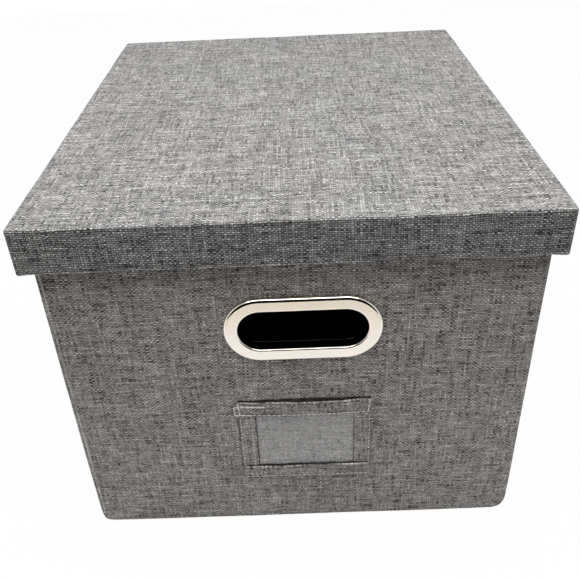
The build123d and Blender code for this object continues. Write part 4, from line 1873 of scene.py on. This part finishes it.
# ---- studio ----
@dataclass
class Studio:
    """The white paper floor, the soft lamp, the dark card behind the camera, and the camera.

    Attributes:
        paper: The floor's finish.
        paper_front: The Y of its front edge.
        paper_back: The Y of its back edge.
        paper_half_width: Half its width.
        paper_height: Its height, a little below the box's foot.
        card_half_width: Half the dark card's width.
        card_y: Its Y.
        card_low: Height of its lower edge.
        card_high: Height of its upper edge.
        softbox_place: Middle of the lamp.
        softbox_size: Its two sides.
        softbox_power: Its power in watts.
        fill_strength: Strength of the even light from all round.
        lens: The camera's lens in millimetres.
        sensor: Its sensor's width in millimetres.
        eye: Its place.
        turn: Its turn round X, Y and Z in radians.
    """

    paper: bpy.types.Material
    paper_front: float = -0.58
    paper_back: float = 1.6
    paper_half_width: float = 1.1
    paper_height: float = -0.2 * MM
    card_half_width: float = 0.9
    card_y: float = -0.66
    card_low: float = 0.0
    card_high: float = 0.9
    softbox_place: Triple = (0.0, -0.2, 1.3)
    softbox_size: Spot = (1.6, 1.2)
    softbox_power: float = 25.8
    fill_strength: float = 0.08
    lens: float = 44.131
    sensor: float = 36.0
    eye: Triple = (0.004471, -0.556104, 0.459996)
    turn: Triple = (0.97704, 0.03965, -0.0098)

    def build(self) -> None:
        """Set up the floor, card, lamp, world and camera."""
        self.floor()
        self.dark_card()
        self.softbox()
        self.world()
        self.camera()

    def plane(self, name: str, corners: tuple[Vector, Vector],
              material: bpy.types.Material) -> bpy.types.Object:
        """A flat stage piece.

        Args:
            name: Its name.
            corners: Two opposite corners.
            material: Its material.

        Returns:
            The object.
        """
        low, high = corners
        mesh = bmesh.new()
        bmesh.ops.create_grid(mesh, x_segments=1, y_segments=1, size=0.5)
        if abs(high.y - low.y) < TINY:
            bmesh.ops.rotate(mesh, cent=(0, 0, 0), matrix=Matrix.Rotation(math.pi / 2, 3, "X"),
                             verts=mesh.verts)
        size = high - low
        scale = [value if abs(value) > TINY else 1.0 for value in size]
        bmesh.ops.scale(mesh, vec=scale, verts=mesh.verts)
        bmesh.ops.translate(mesh, vec=(low + high) / 2, verts=mesh.verts)
        data = bpy.data.meshes.new(name)
        mesh.to_mesh(data)
        mesh.free()
        data.materials.append(material)
        made = bpy.data.objects.new(name, data)
        bpy.context.scene.collection.objects.link(made)
        return made

    def floor(self) -> None:
        """The paper that the box stands on."""
        low = Vector((-self.paper_half_width, self.paper_front, self.paper_height))
        high = Vector((self.paper_half_width, self.paper_back, self.paper_height))
        self.plane("studio_floor", (low, high), self.paper)

    def dark_card(self) -> None:
        """A dark card behind the camera that only the metal's reflections show."""
        recipe = Recipe("dark_card")
        recipe.dress(base_color=(0.01, 0.01, 0.01), roughness=1.0, specular_ior_level=0.0)
        low = Vector((-self.card_half_width, self.card_y, self.card_low))
        high = Vector((self.card_half_width, self.card_y, self.card_high))
        card = self.plane("dark_card", (low, high), recipe.material)
        card.visible_camera = False
        card.visible_diffuse = False
        card.visible_transmission = False
        card.visible_shadow = False

    def softbox(self) -> None:
        """A large soft lamp that looks straight down."""
        data = bpy.data.lights.new("overhead_softbox", "AREA")
        data.shape = "RECTANGLE"
        data.size, data.size_y = self.softbox_size
        data.energy = self.softbox_power
        made = bpy.data.objects.new("overhead_softbox", data)
        made.location = self.softbox_place
        bpy.context.scene.collection.objects.link(made)

    def world(self) -> None:
        """Even fill light, and plain white where the camera or the metal looks past the paper."""
        world = bpy.data.worlds.new("studio_world")
        bpy.context.scene.world = world
        world.use_nodes = True
        nodes, links = world.node_tree.nodes, world.node_tree.links
        background = nodes["Background"]
        path = nodes.new("ShaderNodeLightPath")
        seen = path.outputs["Is Camera Ray"]
        for kind in CLEAR_RAYS:
            most = nodes.new("ShaderNodeMath")
            most.operation = "MAXIMUM"
            links.new(seen, most.inputs[0])
            links.new(path.outputs[kind], most.inputs[1])
            seen = most.outputs[0]
        strength = nodes.new("ShaderNodeMapRange")
        strength.inputs["To Min"].default_value = self.fill_strength
        strength.inputs["To Max"].default_value = 1.0
        links.new(seen, strength.inputs["Value"])
        links.new(strength.outputs[0], background.inputs["Strength"])
        background.inputs["Color"].default_value = (*WHITE, 1.0)

    def camera(self) -> None:
        """The camera, at the picture's own viewpoint."""
        data = bpy.data.cameras.new("camera")
        data.lens = self.lens
        data.sensor_width = self.sensor
        made = bpy.data.objects.new("camera", data)
        made.location = self.eye
        made.rotation_euler = self.turn
        bpy.context.scene.collection.objects.link(made)
        bpy.context.scene.camera = made


def main() -> None:
    """Build every sub-assembly in order, then the studio."""
    logging.basicConfig(level=logging.INFO, format="%(message)s")
    # The lid's linen is darker than the walls' partly as painted shade, so that its upright rim
    # reads darker than the walls.
    wall_linen = LinenFinish(
        "wall_linen", dark=(0.055, 0.050, 0.046), middle=(0.465, 0.440, 0.417),
        pale=(0.84, 0.805, 0.772), warm=(0.465, 0.429, 0.401)).material()
    # Pale linen for the corner seams: a painted highlight along their ridge.
    seam_highlight_linen = LinenFinish(
        "seam_highlight_linen", dark=(0.42, 0.41, 0.40), middle=(0.74, 0.72, 0.70),
        pale=(0.90, 0.88, 0.86), warm=(0.74, 0.71, 0.68), relief=0.3 * MM).material()
    # Near-black linen for the bars that paint the pocket's shadows.
    painted_shadow_linen = LinenFinish(
        "painted_shadow_linen", dark=(0.01, 0.009, 0.008), middle=(0.035, 0.032, 0.03),
        pale=(0.10, 0.095, 0.09), warm=(0.035, 0.032, 0.03), relief=0.3 * MM).material()
    lid_linen = LinenFinish(
        "lid_linen", dark=(0.045, 0.0445, 0.044), middle=(0.37, 0.363, 0.355),
        pale=(0.78, 0.77, 0.758), warm=(0.37, 0.358, 0.346),
        fold_height=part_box("lid_cover")[0].z,
        rim_from=tuple(Place.of("lid_cover").size.xy / 2)).material()
    lining = FeltFinish().material()
    board = BoardFinish().material()
    thread = ThreadFinish().material()
    nickel = MetalFinish(
        "pale_nickel", colour=(0.90, 0.84, 0.755), roughness=0.07, smear=0.06,
        hairline=0.01 * MM, grain=(300.0, 300.0, 2500.0)).material()
    steel = MetalFinish(
        "zinc_steel", colour=(0.62, 0.62, 0.63), roughness=0.3, smear=0.12,
        hairline=0.03 * MM, grain=(2500.0, 40.0, 2500.0)).material()

    BoxBody(wall_linen, seam_highlight_linen, lining, steel, board).build()
    for side in WallSide:
        HandGrip(side, nickel).build()
    LabelPocket(wall_linen, FilmFinish().material(), thread, painted_shadow_linen).build()
    Lid(lid_linen, lining, board).build()
    BaseInsert(lining, RibbonFinish().material(), board).build()
    Studio(PaperFinish().material()).build()
    bpy.context.scene.view_settings.view_transform = "Standard"


if __name__ == "__main__":
    main()
